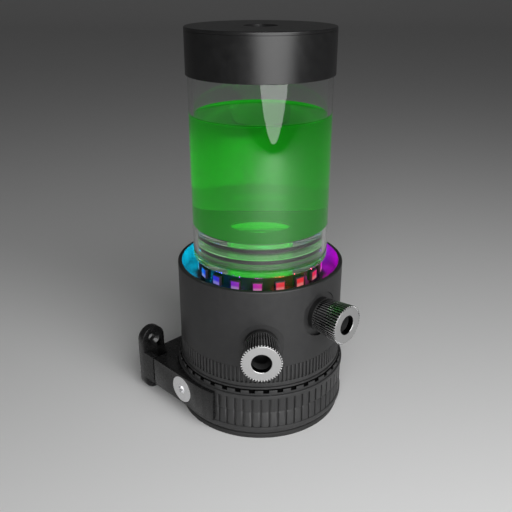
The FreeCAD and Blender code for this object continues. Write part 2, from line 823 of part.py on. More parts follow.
# Fluted lock ring: its lip holds the cup's flange against the housing
bead_radius = ring_radius + ring_bead
groove_base = ring_base + ring_bead_height
lock_ring = turned("lock_ring", [
    (ring_lip_radius, ring_base),
    (bead_radius, ring_base),
    (bead_radius, groove_base),
    (ring_radius - ring_groove, groove_base),
    (ring_radius - ring_groove, groove_base + ring_groove),
    (ring_radius, groove_base + ring_groove),
    (ring_radius, ring_base + ring_height),
    (spigot_radius + slip, ring_base + ring_height),
    (spigot_radius + slip, lip_top),
    (ring_lip_radius, lip_top),
])
flute_sketch = outline(lock_ring, "flute_outline", [
    (ring_radius - flute_depth, -flute_width / 2),
    (ring_radius + flute_depth, -flute_width / 2),
    (ring_radius + flute_depth, flute_width / 2),
    (ring_radius - flute_depth, flute_width / 2),
], "XY_Plane", ring_base + ring_height - flute_height)
flute_cut = pocketed(lock_ring, "flute_cut", flute_sketch, flute_height)
round_the_body(lock_ring, "flutes", flute_cut, flute_count)
keep(lock_ring)

# Pump housing: chamber below, light channel above, and the passages of the two ports
flange_seal_radius = spigot_radius - rim_wall * 2
flange_seal_half = seal_groove_depth / 2
housing_blank = turned("housing_blank", [
    (chamber_radius, cup_top),
    (flange_seal_radius - seal_groove_width / 2, cup_top),
    (flange_seal_radius - seal_groove_width / 2, cup_top + seal_groove_depth),
    (flange_seal_radius + seal_groove_width / 2, cup_top + seal_groove_depth),
    (flange_seal_radius + seal_groove_width / 2, cup_top),
    (spigot_radius, cup_top),
    (spigot_radius, housing_shoulder),
    (housing_radius, housing_shoulder),
    (housing_radius, rim_top),
    (housing_radius - rim_wall, rim_top),
    (housing_radius - rim_wall, channel_floor),
    (neck_radius, channel_floor),
    (neck_radius, neck_top),
    (plug_thread_radius + slip, neck_top),
    (plug_thread_radius + slip, neck_top - plug_thread_length),
    (suction_radius, neck_top - plug_thread_length),
    (suction_radius, chamber_top),
    (chamber_radius, chamber_top),
])
rounded(housing_blank, "housing_edges", [(housing_radius, rim_top)], rim_round)
housing_blank.Placement = FreeCAD.Placement(ORIGIN, FreeCAD.Rotation(UP, SEAM_TURN))


def port_tool(name, level, turn, reach):
    """The turned cutter of one port: passage, thread and round recess."""
    tool = turned(name, [
        (0, reach),
        (port_bore_radius, reach),
        (port_bore_radius, port_face - port_thread_depth),
        (port_thread_radius, port_face - port_thread_depth),
        (port_thread_radius, port_face),
        (port_recess_radius, port_face),
        (port_recess_radius, housing_radius + can_wall),
        (0, housing_radius + can_wall),
    ])
    stand_across(tool, level, turn)
    return tool


inlet_tool = port_tool("inlet_tool", inlet_level, INLET_TURN, as_size(0))
outlet_tool = port_tool("outlet_tool", outlet_level, OUTLET_TURN, riser_distance)
riser_tool = doc.addObject("Part::Cylinder", "riser_tool")
riser_tool.setExpression("Radius", riser_radius.text)
riser_tool.setExpression("Height", (outlet_level - chamber_top + riser_radius + slip).text)
riser_tool.setExpression(".Placement.Base.x", f"{riser_distance.text} * cos({OUTLET_TURN})")
riser_tool.setExpression(".Placement.Base.y", f"{riser_distance.text} * sin({OUTLET_TURN})")
riser_tool.setExpression(".Placement.Base.z", (chamber_top - slip).text)
doc.recompute()
keep(cut_away("pump_housing", housing_blank, inlet_tool, outlet_tool, riser_tool))
keep(seal_ring(
    "flange_o_ring", flange_seal_radius, flange_seal_half - seal_slack, cup_top + flange_seal_half))

# Light strip round the neck, with its square lights
strip_base = channel_floor + strip_rise
keep(turned("light_strip", [
    (neck_radius, strip_base),
    (neck_radius + strip_thickness, strip_base),
    (neck_radius + strip_thickness, strip_base + strip_height),
    (neck_radius, strip_base + strip_height),
]))
light_back = neck_radius.value + strip_thickness.value
light_corner = FreeCAD.Vector(
    light_back, -light_side.value / 2, strip_base.value + (strip_height.value - light_side.value) / 2)
light = Part.makeBox(light_depth.value, light_side.value, light_side.value, light_corner)
keep(loose_group("lights", turned_copies(light, light_count, LIGHT_TURN)))

# Clear base plug with its seals
groove_bottom = tube_inner_radius - slip / 2 - seal_groove_depth
seal_levels = [tube_base + lower_seal_rise, tube_base + lower_seal_rise + seal_spacing]
plug_points = [
    (plug_bore_radius, neck_top - plug_thread_length),
    (plug_thread_radius, neck_top - plug_thread_length),
    (plug_thread_radius, neck_top),
    (tube_radius, neck_top),
    (tube_radius, tube_base),
    (plug_radius, tube_base),
]
for level in seal_levels:
    plug_points += [
        (plug_radius, level - seal_groove_width / 2),
        (groove_bottom, level - seal_groove_width / 2),
        (groove_bottom, level + seal_groove_width / 2),
        (plug_radius, level + seal_groove_width / 2),
    ]
plug_points += [(plug_radius, plug_top), (plug_bore_radius, plug_top)]
keep(turned("clear_base_plug", plug_points))
base_seal_solids = []
for level in seal_levels:
    centre = FreeCAD.Vector(0, 0, level.value)
    base_seal_solids.append(Part.makeTorus(seal_centre.value, seal_radius.value, centre, UP))
keep(loose_group("base_o_rings", base_seal_solids))

# Glass tube and the coolant in it
keep(turned("glass_tube", [
    (tube_inner_radius, tube_base),
    (tube_radius, tube_base),
    (tube_radius, tube_top),
    (tube_inner_radius, tube_top),
]))
keep(turned("coolant", [
    (0, chamber_top),
    (suction_radius - slip, chamber_top),
    (suction_radius - slip, neck_top - plug_thread_length),
    (plug_bore_radius - slip, neck_top - plug_thread_length),
    (plug_bore_radius - slip, plug_top),
    (tube_inner_radius - seal_slack, plug_top),
    (tube_inner_radius - seal_slack, coolant_top),
    (0, coolant_top),
]))

# Cap: a thin skirt outside the glass and a sealed plug inside it
cap_plug_base = tube_top - cap_plug_length
cap_seal_level = cap_plug_base + cap_plug_length / 2
top_cap = turned("top_cap", [
    (port_thread_radius, cap_top - fill_thread_length),
    (fill_boss_radius, cap_top - fill_thread_length),
    (fill_boss_radius, cap_top - cap_roof),
    (plug_radius - cap_plug_wall, cap_top - cap_roof),
    (plug_radius - cap_plug_wall, cap_plug_base),
    (plug_radius, cap_plug_base),
    (plug_radius, cap_seal_level - seal_groove_width / 2),
    (groove_bottom, cap_seal_level - seal_groove_width / 2),
    (groove_bottom, cap_seal_level + seal_groove_width / 2),
    (plug_radius, cap_seal_level + seal_groove_width / 2),
    (plug_radius, tube_top),
    (tube_radius + slip, tube_top),
    (tube_radius + slip, cap_base),
    (cap_radius, cap_base),
    (cap_radius, cap_top),
    (port_thread_radius, cap_top),
])
rounded(top_cap, "cap_edge", [(cap_radius, cap_top)], cap_round)
keep(top_cap)
keep(seal_ring("cap_o_ring", seal_centre, seal_radius, cap_seal_level))

# Two identical hose fittings
collar_base = port_face + fitting_flange_width + slip
collar_inner_end = fitting_face - collar_end_wall
fitting_end = port_face + fitting_flange_width + fitting_thread_length
face_seal_centre = (port_thread_radius - slip + fitting_flange_radius - face_seal_wall) / 2
for port, level, turn in (("inlet", inlet_level, INLET_TURN), ("outlet", outlet_level, OUTLET_TURN)):
    stub_base = port_face - port_thread_depth + slip
    fitting = turned(f"{port}_fitting", [
        (fitting_bore_radius, stub_base),
        (port_thread_radius - slip, stub_base),
        (port_thread_radius - slip, port_face + face_seal_radius * 2),
        (fitting_flange_radius - face_seal_wall, port_face + face_seal_radius * 2),
        (fitting_flange_radius - face_seal_wall, port_face),
        (fitting_flange_radius, port_face),
        (fitting_flange_radius, port_face + fitting_flange_width),
        (fitting_thread_radius, port_face + fitting_flange_width),
        (fitting_thread_radius, fitting_end),
        (hose_radius, fitting_end),
        (hose_radius, fitting_end - hose_depth),
        (fitting_bore_radius, fitting_end - hose_depth),
    ])
    stand_across(fitting, level, turn)
    keep(fitting)
    seal = doc.addObject("Part::Torus", f"{port}_o_ring")
    seal.Label = f"{port}_o_ring"
    seal.setExpression("Radius1", face_seal_centre.text)
    seal.setExpression("Radius2", (face_seal_radius - seal_slack).text)
    seal_distance = port_face.value + face_seal_radius.value
    seal_place = FreeCAD.Rotation(UP, turn).multVec(FreeCAD.Vector(seal_distance, 0, 0))
    seal.Placement = FreeCAD.Placement(
        seal_place + FreeCAD.Vector(0, 0, level.value),
        FreeCAD.Rotation(UP, turn).multiply(FreeCAD.Rotation(ALONG_Y, 90)))
    doc.recompute()
    keep(seal)
    collar = turned(f"{port}_collar", [
        (fitting_thread_radius + slip, collar_base),
        (collar_rear_radius, collar_base),
        (collar_face_radius, fitting_face),
        (hose_radius, fitting_face),
        (hose_radius, collar_inner_end),
        (fitting_thread_radius + slip, collar_inner_end),
    ])
    knurl_sketch = outline(collar, f"{port}_knurl_outline", [
        (collar_rear_radius - knurl_depth, 0),
        (collar_rear_radius + knurl_depth, -knurl_width),
        (collar_rear_radius + knurl_depth, knurl_width),
    ], "XY_Plane", collar_base)
    knurl_cut = pocketed(
        collar, f"{port}_knurl_cut", knurl_sketch,
        fitting_face - collar_base, collar_face_radius - collar_rear_radius)
    round_the_body(collar, f"{port}_knurl", knurl_cut, knurl_count)
    stand_across(collar, level, turn)
    keep(collar)
    ferrule = turned(f"{port}_ferrule", [
        (hose_radius, fitting_end + slip),
        (hose_radius + ferrule_wall, fitting_end + slip),
        (hose_radius + ferrule_wall, collar_inner_end - slip),
        (hose_radius, collar_inner_end - slip),
    ])
    stand_across(ferrule, level, turn)
    keep(ferrule)

# Bracket block: a flat front, a band that hugs the sleeve and a corner block beside it
bracket_top = bracket_base + bracket_height
plate_back_edge = bracket_reach - plate_width
block_front_end = bracket_reach - block_corner
block_side = bracket_reach - block_inset
block_back_end = bracket_reach - block_length
notch_side = bracket_reach - pocket_length
plate_side = bracket_reach - plate_inset
bracket_blank = new_body("bracket_blank")
bracket_sketch = outline(bracket_blank, "bracket_outline", [
    (0, -bracket_reach),
    (-block_front_end, -bracket_reach),
    (-block_front_end, -notch_side),
    (-plate_side, -notch_side),
    (-plate_side, -plate_back_edge),
    (-block_side, -plate_back_edge),
    (-block_side, -block_back_end),
    (0, -block_back_end),
], "XY_Plane", bracket_base)
padded(bracket_blank, "bracket_pad", bracket_sketch, bracket_height)
sleeve_space = rod("sleeve_space", band_inner_radius, bracket_height, 0, 0, bracket_base)
corner_block = cut_away("corner_block", bracket_blank, sleeve_space)
band_tube = turned("band_tube", [
    (band_inner_radius, bracket_base),
    (bracket_reach, bracket_base),
    (bracket_reach, bracket_top),
    (band_inner_radius, bracket_top),
])
band_turn = math.radians(BAND_END_TURN)
band_far = 2 * bracket_reach.value
wedge_corners = [
    FreeCAD.Vector(0, 0, bracket_base.value),
    FreeCAD.Vector(0, -band_far, bracket_base.value),
    FreeCAD.Vector(band_far * math.cos(band_turn), band_far * math.sin(band_turn), bracket_base.value),
]
wedge_face = Part.Face(Part.makePolygon(wedge_corners + wedge_corners[:1]))
band_wedge = doc.addObject("Part::Feature", "band_wedge")
band_wedge.Shape = wedge_face.extrude(UP * bracket_height.value)
band = doc.addObject("Part::Common", "band")
band.Base = band_tube
band.Tool = band_wedge
bracket_union = doc.addObject("Part::MultiFuse", "bracket_union")
bracket_union.Shapes = [corner_block, band]
bracket_union.Refine = True
doc.recompute()

tongue_front = bracket_reach - tongue_setback
tongue_back = tongue_front - tongue_thickness
tongue_limit = band_inner_radius + tongue_skin
tongue_end = square_root(tongue_limit * tongue_limit - tongue_back * tongue_back)
tongue_base = bracket_middle - tongue_height / 2
tongue_start = block_front_end + slit + web_thickness
tongue_slot = block(
    "tongue_slot",
    (-block_front_end, -tongue_front - slip, tongue_base - slip),
    (-tongue_end + slip, -tongue_back + slip, tongue_base + tongue_height + slip),
)
foot_screw_x = -(block_front_end + tongue_end) / 2
foot_screw_y = -(tongue_front + tongue_back) / 2
foot_screw_top = tongue_base + tongue_height + foot_screw_grip
foot_screw_hole = rod(
    "foot_screw_hole", foot_screw_radius + slip, foot_screw_top - bracket_base + slip,
    foot_screw_x, foot_screw_y, bracket_base)
foot_screw_sinking = rod(
    "foot_screw_sinking", foot_screw_head + slip, foot_screw_head_height,
    foot_screw_x, foot_screw_y, bracket_base)


def clamp_screw_shape(name, extra, drive):
    """The countersunk screw, or its hole when it is made a little larger and without a drive."""
    points = [
        (0, 0),
        (clamp_head_radius + extra, 0),
        (clamp_screw_radius + extra, clamp_head_radius - clamp_screw_radius),
        (clamp_screw_radius + extra, clamp_screw_length + extra),
        (0, clamp_screw_length + extra),
    ]
    screw = turned(name, points)
    if drive:
        key_sketch = hexagon(screw, name + "_key_outline", hex_key)
        pocketed(screw, name + "_key", key_sketch, hex_depth)
    screw.Placement.Rotation = FreeCAD.Rotation(FreeCAD.Vector(1, 0, 0), -90)
    for axis, amount in zip("xyz", (-clamp_screw_offset, -bracket_reach, bracket_middle)):
        screw.setExpression(f".Placement.Base.{axis}", amount.text)
    doc.recompute()
    return screw


clamp_hole = clamp_screw_shape("clamp_hole", slip, False)
keep(cut_away("bracket_block", bracket_union, tongue_slot, foot_screw_hole, foot_screw_sinking, clamp_hole))
keep(clamp_screw_shape("clamp_screw", as_size(0), True))

# Bracket foot: the plate with its two countersunk holes, its web and the tongue inside the block
plate_round = plate_width / 2
plate_middle = plate_ground_gap + plate_length / 2
plate_axis = plate_round - bracket_reach
plate_low = plate_ground_gap + plate_round
plate_high = plate_ground_gap + plate_length - plate_round
plate_middle_block = block(
    "plate_middle_block",
    (-plate_side - plate_thickness, -bracket_reach, plate_low),
    (-plate_side, -plate_back_edge, plate_high),
)
plate_ends = []
for name, level in (("lower", plate_low), ("upper", plate_high)):
    end = doc.addObject("Part::Cylinder", f"{name}_plate_end")
    end.setExpression("Radius", plate_round.text)
    end.setExpression("Height", plate_thickness.text)
    end.Placement.Rotation = FreeCAD.Rotation(ALONG_Y, 90)
    for axis, amount in zip("xyz", (-plate_side - plate_thickness, plate_axis, level)):
        end.setExpression(f".Placement.Base.{axis}", amount.text)
    plate_ends.append(end)
web = block(
    "web",
    (-plate_side, -bracket_reach, bracket_base),
    (-(block_front_end + slit), -bracket_reach + web_thickness, bracket_top),
)
tongue = block(
    "tongue",
    (-tongue_start, -tongue_front, tongue_base),
    (-tongue_end, -tongue_back, tongue_base + tongue_height),
)
foot_union = doc.addObject("Part::MultiFuse", "foot_union")
foot_union.Shapes = [plate_middle_block, *plate_ends, web, tongue]
foot_union.Refine = True
doc.recompute()
plate_holes = []
for name, side in (("lower", -1), ("upper", 1)):
    hole = turned(f"{name}_plate_hole", [
        (0, 0),
        (plate_sink_radius, 0),
        (plate_hole_radius, plate_sink_radius - plate_hole_radius),
        (plate_hole_radius, plate_thickness + slip),
        (0, plate_thickness + slip),
    ])
    hole.Placement.Rotation = FreeCAD.Rotation(ALONG_Y, -90)
    hole_level = plate_middle + plate_hole_spacing * side / 2
    for axis, amount in zip("xyz", (-plate_side, plate_axis, hole_level)):
        hole.setExpression(f".Placement.Base.{axis}", amount.text)
    doc.recompute()
    plate_holes.append(hole)
keep(cut_away("bracket_foot", foot_union, foot_screw_hole, *plate_holes))
foot_screw_head_part = rod(
    "foot_screw_head", foot_screw_head, foot_screw_head_height, foot_screw_x, foot_screw_y, bracket_base)
foot_screw_shank = rod(
    "foot_screw_shank", foot_screw_radius, foot_screw_top - bracket_base,
    foot_screw_x, foot_screw_y, bracket_base)
foot_screw = doc.addObject("Part::MultiFuse", "foot_screw")
foot_screw.Label = "foot_screw"
foot_screw.Shapes = [foot_screw_head_part, foot_screw_shank]
foot_screw.Refine = True
doc.recompute()
keep(foot_screw)

# Every object must be sound before anything is written
doc.recompute()
for item in doc.Objects:
    if "Invalid" in item.State or "Error" in item.State:
        raise RuntimeError(f"{item.Name} did not recompute: {item.State}")
os.makedirs("parts", exist_ok=True)
for piece in pieces:
    shape = piece.Shape
    if shape.isNull() or not shape.isValid() or not shape.Solids:
        raise RuntimeError(f"{piece.Label} has no valid solid")
    shape.exportStep(f"parts/{piece.Label}.step")
print(len(pieces), "pieces written")
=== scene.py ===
# %% [markdown]
# # A coolant pump under its glass reservoir
# A computer's liquid cooling loop needs a pump and a small tank above it. This one is a black
# stack of turned and moulded parts, a glass tube with green coolant and a black cap.
# The CAD model gives every piece its place and size. This lesson dresses that model: it keeps the
# nodes whose shape is right, and builds finer pieces where ribs, flutes and knurls catch the light.

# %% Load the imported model
import math

import bmesh
import bpy
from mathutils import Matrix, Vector


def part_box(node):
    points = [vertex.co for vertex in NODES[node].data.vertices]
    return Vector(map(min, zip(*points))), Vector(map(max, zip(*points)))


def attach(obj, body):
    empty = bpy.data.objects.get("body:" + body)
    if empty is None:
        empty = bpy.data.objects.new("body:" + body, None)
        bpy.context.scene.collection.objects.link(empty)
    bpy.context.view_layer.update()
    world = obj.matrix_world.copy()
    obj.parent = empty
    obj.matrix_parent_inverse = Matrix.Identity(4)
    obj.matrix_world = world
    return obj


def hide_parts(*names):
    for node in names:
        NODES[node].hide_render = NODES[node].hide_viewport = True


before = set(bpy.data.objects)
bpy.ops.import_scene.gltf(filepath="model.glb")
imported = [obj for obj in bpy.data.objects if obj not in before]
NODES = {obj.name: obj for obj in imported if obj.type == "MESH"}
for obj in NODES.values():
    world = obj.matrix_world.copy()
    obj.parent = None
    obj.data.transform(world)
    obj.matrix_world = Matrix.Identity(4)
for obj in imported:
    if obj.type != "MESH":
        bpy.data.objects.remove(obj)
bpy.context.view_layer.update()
MM = 0.001

# %% [markdown]
# ## The camera
# The camera stands in front of the corner between the two hose fittings and looks down at the
# pump. Its distance, height and lens come from the round edges of the real object: a circle that is
# seen from the side turns into an ellipse, and its width and depth give the distance and the angle.

# %% Camera at the viewing angle
CAMERA_PLACE = (0.19738, -0.19601, 0.19250)
CAMERA_TILT = math.radians(90) - 0.4073
CAMERA_TURN = math.radians(45.2) + 0.0067
camera_data = bpy.data.cameras.new("viewing_camera")
camera_data.lens = 46.64
camera_data.sensor_width = 36
camera_data.clip_start = 0.01
camera = bpy.data.objects.new("viewing_camera", camera_data)
camera.location = CAMERA_PLACE
camera.rotation_euler = (CAMERA_TILT, 0, CAMERA_TURN)
bpy.context.collection.objects.link(camera)
bpy.context.scene.camera = camera
bpy.context.scene.view_settings.view_transform = "Standard"

# %% [markdown]
# ## How a finish is made
# Every finish is a small tree of nodes that starts from the object's own coordinates, so nothing slides
# when the camera or a piece moves. The helpers here keep those trees short.

# %% Helpers for materials
# Most of the noise lies between these two shares.
USUAL_LOW = 0.3
USUAL_HIGH = 0.7
# The sockets of a Mix node in its colour mode: the two colours that go in, and the one that comes out.
MIX_A = 6
MIX_B = 7
MIX_COLOUR = 2


def new_finish(name):
    """A material with its node tree and its shader."""
    material = bpy.data.materials.new(name)
    material.use_nodes = True
    return material, material.node_tree, material.node_tree.nodes["Principled BSDF"]


def add_node(tree, kind, **settings):
    """A node with its own settings, and with its inputs where a setting names one."""
    node = tree.nodes.new(kind)
    for key, value in settings.items():
        if hasattr(node, key):
            setattr(node, key, value)
        else:
            node.inputs[key.replace("_", " ")].default_value = value
    return node


def piece_coordinates(tree):
    """Where a point is on the object, in metres, the same from every side."""
    return add_node(tree, "ShaderNodeTexCoord").outputs["Object"]


def distance_from_axis(tree, coordinates, across):
    """How far a point is from an axis, where across is 1 for the two directions that count."""
    flat = add_node(tree, "ShaderNodeVectorMath", operation="MULTIPLY")
    flat.inputs[1].default_value = across
    tree.links.new(coordinates, flat.inputs[0])
    reach = add_node(tree, "ShaderNodeVectorMath", operation="LENGTH")
    tree.links.new(flat.outputs[0], reach.inputs[0])
    return reach.outputs["Value"]


def coordinate(tree, coordinates, axis):
    """One of the three numbers of a place."""
    split = add_node(tree, "ShaderNodeSeparateXYZ")
    tree.links.new(coordinates, split.inputs[0])
    return split.outputs[axis]


def colour_stops(tree, share, stops):
    """A colour that follows share from stop to stop, each a place between 0 and 1 with its colour."""
    ramp = add_node(tree, "ShaderNodeValToRGB")
    marks = ramp.color_ramp.elements
    while len(marks) < len(stops):
        marks.new(0.5)
    for mark, (place, colour) in zip(marks, stops):
        mark.position = place
        mark.color = (*colour, 1)
    tree.links.new(share, ramp.inputs["Fac"])
    return ramp.outputs["Color"]


def noise(tree, size_mm, detail=3.0):
    """Even cloudy noise whose spots are about size_mm across."""
    node = add_node(tree, "ShaderNodeTexNoise", Scale=1 / (size_mm * MM), Detail=detail)
    tree.links.new(piece_coordinates(tree), node.inputs["Vector"])
    return node.outputs["Fac"]


def between(tree, share, low, high):
    """A number that runs from low to high as share runs over the noise's usual middle."""
    node = add_node(tree, "ShaderNodeMapRange", From_Min=USUAL_LOW, From_Max=USUAL_HIGH,
                    To_Min=low, To_Max=high)
    tree.links.new(share, node.inputs["Value"])
    return node.outputs["Result"]


def two_colours(tree, share, dark, light):
    """A colour that runs from dark to light as share runs over the noise's usual middle."""
    return colour_stops(tree, share, ((USUAL_LOW, dark), (USUAL_HIGH, light)))


def roughen(tree, shader, height, depth_mm, strength=0.5):
    """Fine relief in the surface from a height between 0 and 1."""
    node = add_node(tree, "ShaderNodeBump", Strength=strength, Distance=depth_mm * MM)
    tree.links.new(height, node.inputs["Height"])
    tree.links.new(node.outputs["Normal"], shader.inputs["Normal"])


def grained_finish(name, dark, light, rough, grain_mm, metal=0.0, relief_mm=0.01, specular=0.5):
    """A finish with cloudy colour, uneven gloss and a fine grain."""
    material, tree, shader = new_finish(name)
    shader.inputs["Metallic"].default_value = metal
    shader.inputs["Specular IOR Level"].default_value = specular
    clouds = noise(tree, grain_mm * 12)
    tree.links.new(two_colours(tree, clouds, dark, light), shader.inputs["Base Color"])
    tree.links.new(between(tree, clouds, *rough), shader.inputs["Roughness"])
    roughen(tree, shader, noise(tree, grain_mm), relief_mm)
    return material


# %% [markdown]
# ## Floor and studio light
# A plain pale sheet lies under the pump and rises far behind it. One round soft lamp stands low in
# front, just clear of the floor. Upright glass that is seen from above mirrors what is low, so it is
# this lamp that leaves the tongue of light on the tube and the soft band on the black parts.

# %% Floor
FLOOR_SIZE = 6.0
FLOOR_RISE = 2.2
BEND_STEPS = 12
floor_mesh = bpy.data.meshes.new("floor")
floor_shape = bmesh.new()
back = Vector((-1, 1, 0)).normalized()
across = Vector((1, 1, 0)).normalized()
spine = [(-FLOOR_SIZE / 2, 0.0), (FLOOR_RISE, 0.0)]
for step in range(1, BEND_STEPS + 1):
    bend = math.radians(90) * step / BEND_STEPS
    spine.append((FLOOR_RISE + math.sin(bend), 1 - math.cos(bend)))
spine.append((FLOOR_RISE + 1, FLOOR_SIZE / 2))
rows = []
for depth, height in spine:
    middle = back * depth + Vector((0, 0, height))
    rows.append([floor_shape.verts.new(middle + across * side * FLOOR_SIZE / 2) for side in (-1, 1)])
for near, far in zip(rows, rows[1:]):
    floor_shape.faces.new((near[0], near[1], far[1], far[0]))
bmesh.ops.recalc_face_normals(floor_shape, faces=floor_shape.faces)
floor_shape.to_mesh(floor_mesh)
floor_mesh.shade_smooth()
floor = bpy.data.objects.new("floor", floor_mesh)
bpy.context.collection.objects.link(floor)
floor_finish, floor_tree, floor_shader = new_finish("pale_floor")
floor_shader.inputs["Base Color"].default_value = (0.75, 0.75, 0.75, 1)
floor_shader.inputs["Roughness"].default_value = 0.6
floor_mesh.materials.append(floor_finish)
print("floor faces:", len(floor_mesh.polygons))

# %% Lamp and world
MAIN_POWER = 3.4
MAIN_SIZE = 0.57
MAIN_PLACE = (0.375, -0.175, 0.276)
MAIN_AIM = (0, 0, 0.11)


def soft_lamp(name, power, size, place, aim, shape="RECTANGLE", colour=(1, 1, 1)):
    """An area lamp that points at a spot."""
    data = bpy.data.lights.new(name, "AREA")
    data.shape = shape
    data.size, data.size_y = size
    data.energy = power
    data.color = colour
    lamp = bpy.data.objects.new(name, data)
    lamp.location = place
    lamp.rotation_euler = (Vector(aim) - Vector(place)).to_track_quat("-Z", "Y").to_euler()
    bpy.context.collection.objects.link(lamp)
    return lamp


main_lamp = soft_lamp("main_lamp", MAIN_POWER, (MAIN_SIZE, MAIN_SIZE), MAIN_PLACE, MAIN_AIM, "DISK")
main_lamp.visible_camera = False
main_lamp.visible_transmission = False
world = bpy.data.worlds.new("studio")
world.use_nodes = True
background = world.node_tree.nodes["Background"]
background.inputs["Color"].default_value = (0.5, 0.5, 0.5, 1)
background.inputs["Strength"].default_value = 0.13
bpy.context.scene.world = world
print("main lamp:", main_lamp.data.energy, "W")

# %% [markdown]
# ## Black finishes
# The stack is black all over, but not one black. The rings and the sleeve are moulded plastic with a
# faint grain, the cap and the fittings' bodies are anodised metal with a finer tooth, the bracket is
# satin black, and the foot and the seals are rubber. Each gets its own cloud size, gloss and relief.

# %% Black plastic, black metal, rubber and satin black
black_plastic = grained_finish(
    "black_plastic", (0.027, 0.027, 0.0275), (0.033, 0.033, 0.0335), (0.42, 0.50), 0.25,
    relief_mm=0.006, specular=0.4)
black_metal = grained_finish(
    "black_metal", (0.006, 0.006, 0.0062), (0.009, 0.009, 0.0092), (0.29, 0.34), 0.3, relief_mm=0.0012)
black_rubber = grained_finish(
    "black_rubber", (0.012, 0.012, 0.012), (0.022, 0.022, 0.022), (0.65, 0.8), 0.4, relief_mm=0.01)
satin_black = grained_finish(
    "satin_black", (0.007, 0.007, 0.0072), (0.010, 0.010, 0.0102), (0.24, 0.30), 0.2, relief_mm=0.002)
print("black finishes:", black_plastic.name, black_metal.name, black_rubber.name, satin_black.name)

# %% Black plastic with a polished light channel
CHANNEL_RADIUS = 35.8
CHANNEL_FLOOR = 64.2
SATIN = 0.5
POLISHED = 0.12
AXIS_Z = (1, 1, 0)


def housing_finish():
    """Satin outside and polished inside the channel, where the lights are mirrored."""
    material, tree, shader = new_finish("housing_plastic")
    clouds = noise(tree, 3.0)
    colour = two_colours(tree, clouds, (0.014, 0.014, 0.0145), (0.019, 0.019, 0.0195))
    tree.links.new(colour, shader.inputs["Base Color"])
    place = piece_coordinates(tree)
    inside = add_node(tree, "ShaderNodeMath", operation="LESS_THAN")
    inside.inputs[1].default_value = CHANNEL_RADIUS * MM
    tree.links.new(distance_from_axis(tree, place, AXIS_Z), inside.inputs[0])
    above = add_node(tree, "ShaderNodeMath", operation="GREATER_THAN")
    above.inputs[1].default_value = CHANNEL_FLOOR * MM
    tree.links.new(coordinate(tree, place, "Z"), above.inputs[0])
    both = add_node(tree, "ShaderNodeMath", operation="MULTIPLY")
    tree.links.new(inside.outputs[0], both.inputs[0])
    tree.links.new(above.outputs[0], both.inputs[1])
    gloss = add_node(tree, "ShaderNodeMapRange", To_Min=SATIN, To_Max=POLISHED)
    tree.links.new(both.outputs[0], gloss.inputs["Value"])
    tree.links.new(gloss.outputs["Result"], shader.inputs["Roughness"])
    roughen(tree, shader, noise(tree, 0.25), 0.006)
    return material


housing_plastic = housing_finish()

# %% [markdown]
# ## Clear and wet finishes
# Glass, acrylic and coolant are all clear to light, and differ in how much they bend it. The colour of
# each is set on the shader's own socket, and light that goes through takes it on.

# %% Glass, acrylic and coolant
def clear_finish(name, colour, bend, rough=0.0):
    """A finish that light goes through, with faint smears in its gloss."""
    material, tree, shader = new_finish(name)
    shader.inputs["Base Color"].default_value = (*colour, 1)
    shader.inputs["Transmission Weight"].default_value = 1.0
    shader.inputs["IOR"].default_value = bend
    tree.links.new(between(tree, noise(tree, 14.0), rough, rough + 0.01), shader.inputs["Roughness"])
    return material


GLASS_BEND = 1.54
ACRYLIC_BEND = 1.49
COOLANT_BEND = 1.34
clear_glass = clear_finish("clear_glass", (0.97, 0.98, 0.975), GLASS_BEND)
clear_acrylic = clear_finish("clear_acrylic", (0.93, 0.97, 0.94), ACRYLIC_BEND)
green_coolant = clear_finish("green_coolant", (0.03, 0.98, 0.03), COOLANT_BEND)
coolant_glow_shader = green_coolant.node_tree.nodes["Principled BSDF"]
# Painted light: the coolant gets a faint green glow of its own, in place of light it gathers from the room.
coolant_glow_shader.inputs["Emission Color"].default_value = (0.01, 1.0, 0.02, 1)
coolant_glow_shader.inputs["Emission Strength"].default_value = 0.035
print("clear finishes bend light by", GLASS_BEND, ACRYLIC_BEND, COOLANT_BEND)

# %% [markdown]
# The plug's rings catch green light that comes down through the coolant. Traced light alone leaves
# them too grey, so bands of a faint green glow follow the level in the plug.

# %% Green bands in the plug
PLUG_GLOW = ((0.0, 0.0), (0.22, 0.02), (0.30, 0.30), (0.36, 0.10), (0.44, 0.55), (0.62, 0.62), (0.66, 0.15),
             (0.72, 0.45), (0.77, 0.12), (0.86, 0.05), (1.0, 0.0))
GLOW_LOW = 72.5
GLOW_HIGH = 91.5
GLOW_COLOUR = (0.12, 0.5, 0.12)


def add_plug_glow(material):
    """Bands of painted green light at the levels of the plug's rings."""
    tree = material.node_tree
    shader = tree.nodes["Principled BSDF"]
    height = add_node(tree, "ShaderNodeMapRange", From_Min=GLOW_LOW * MM, From_Max=GLOW_HIGH * MM)
    tree.links.new(coordinate(tree, piece_coordinates(tree), "Z"), height.inputs["Value"])
    stops = [(share, [level * part for part in GLOW_COLOUR]) for share, level in PLUG_GLOW]
    tree.links.new(colour_stops(tree, height.outputs[0], stops), shader.inputs["Emission Color"])
    shader.inputs["Emission Strength"].default_value = 0.5


add_plug_glow(clear_acrylic)
print("bands in the plug:", len(PLUG_GLOW))
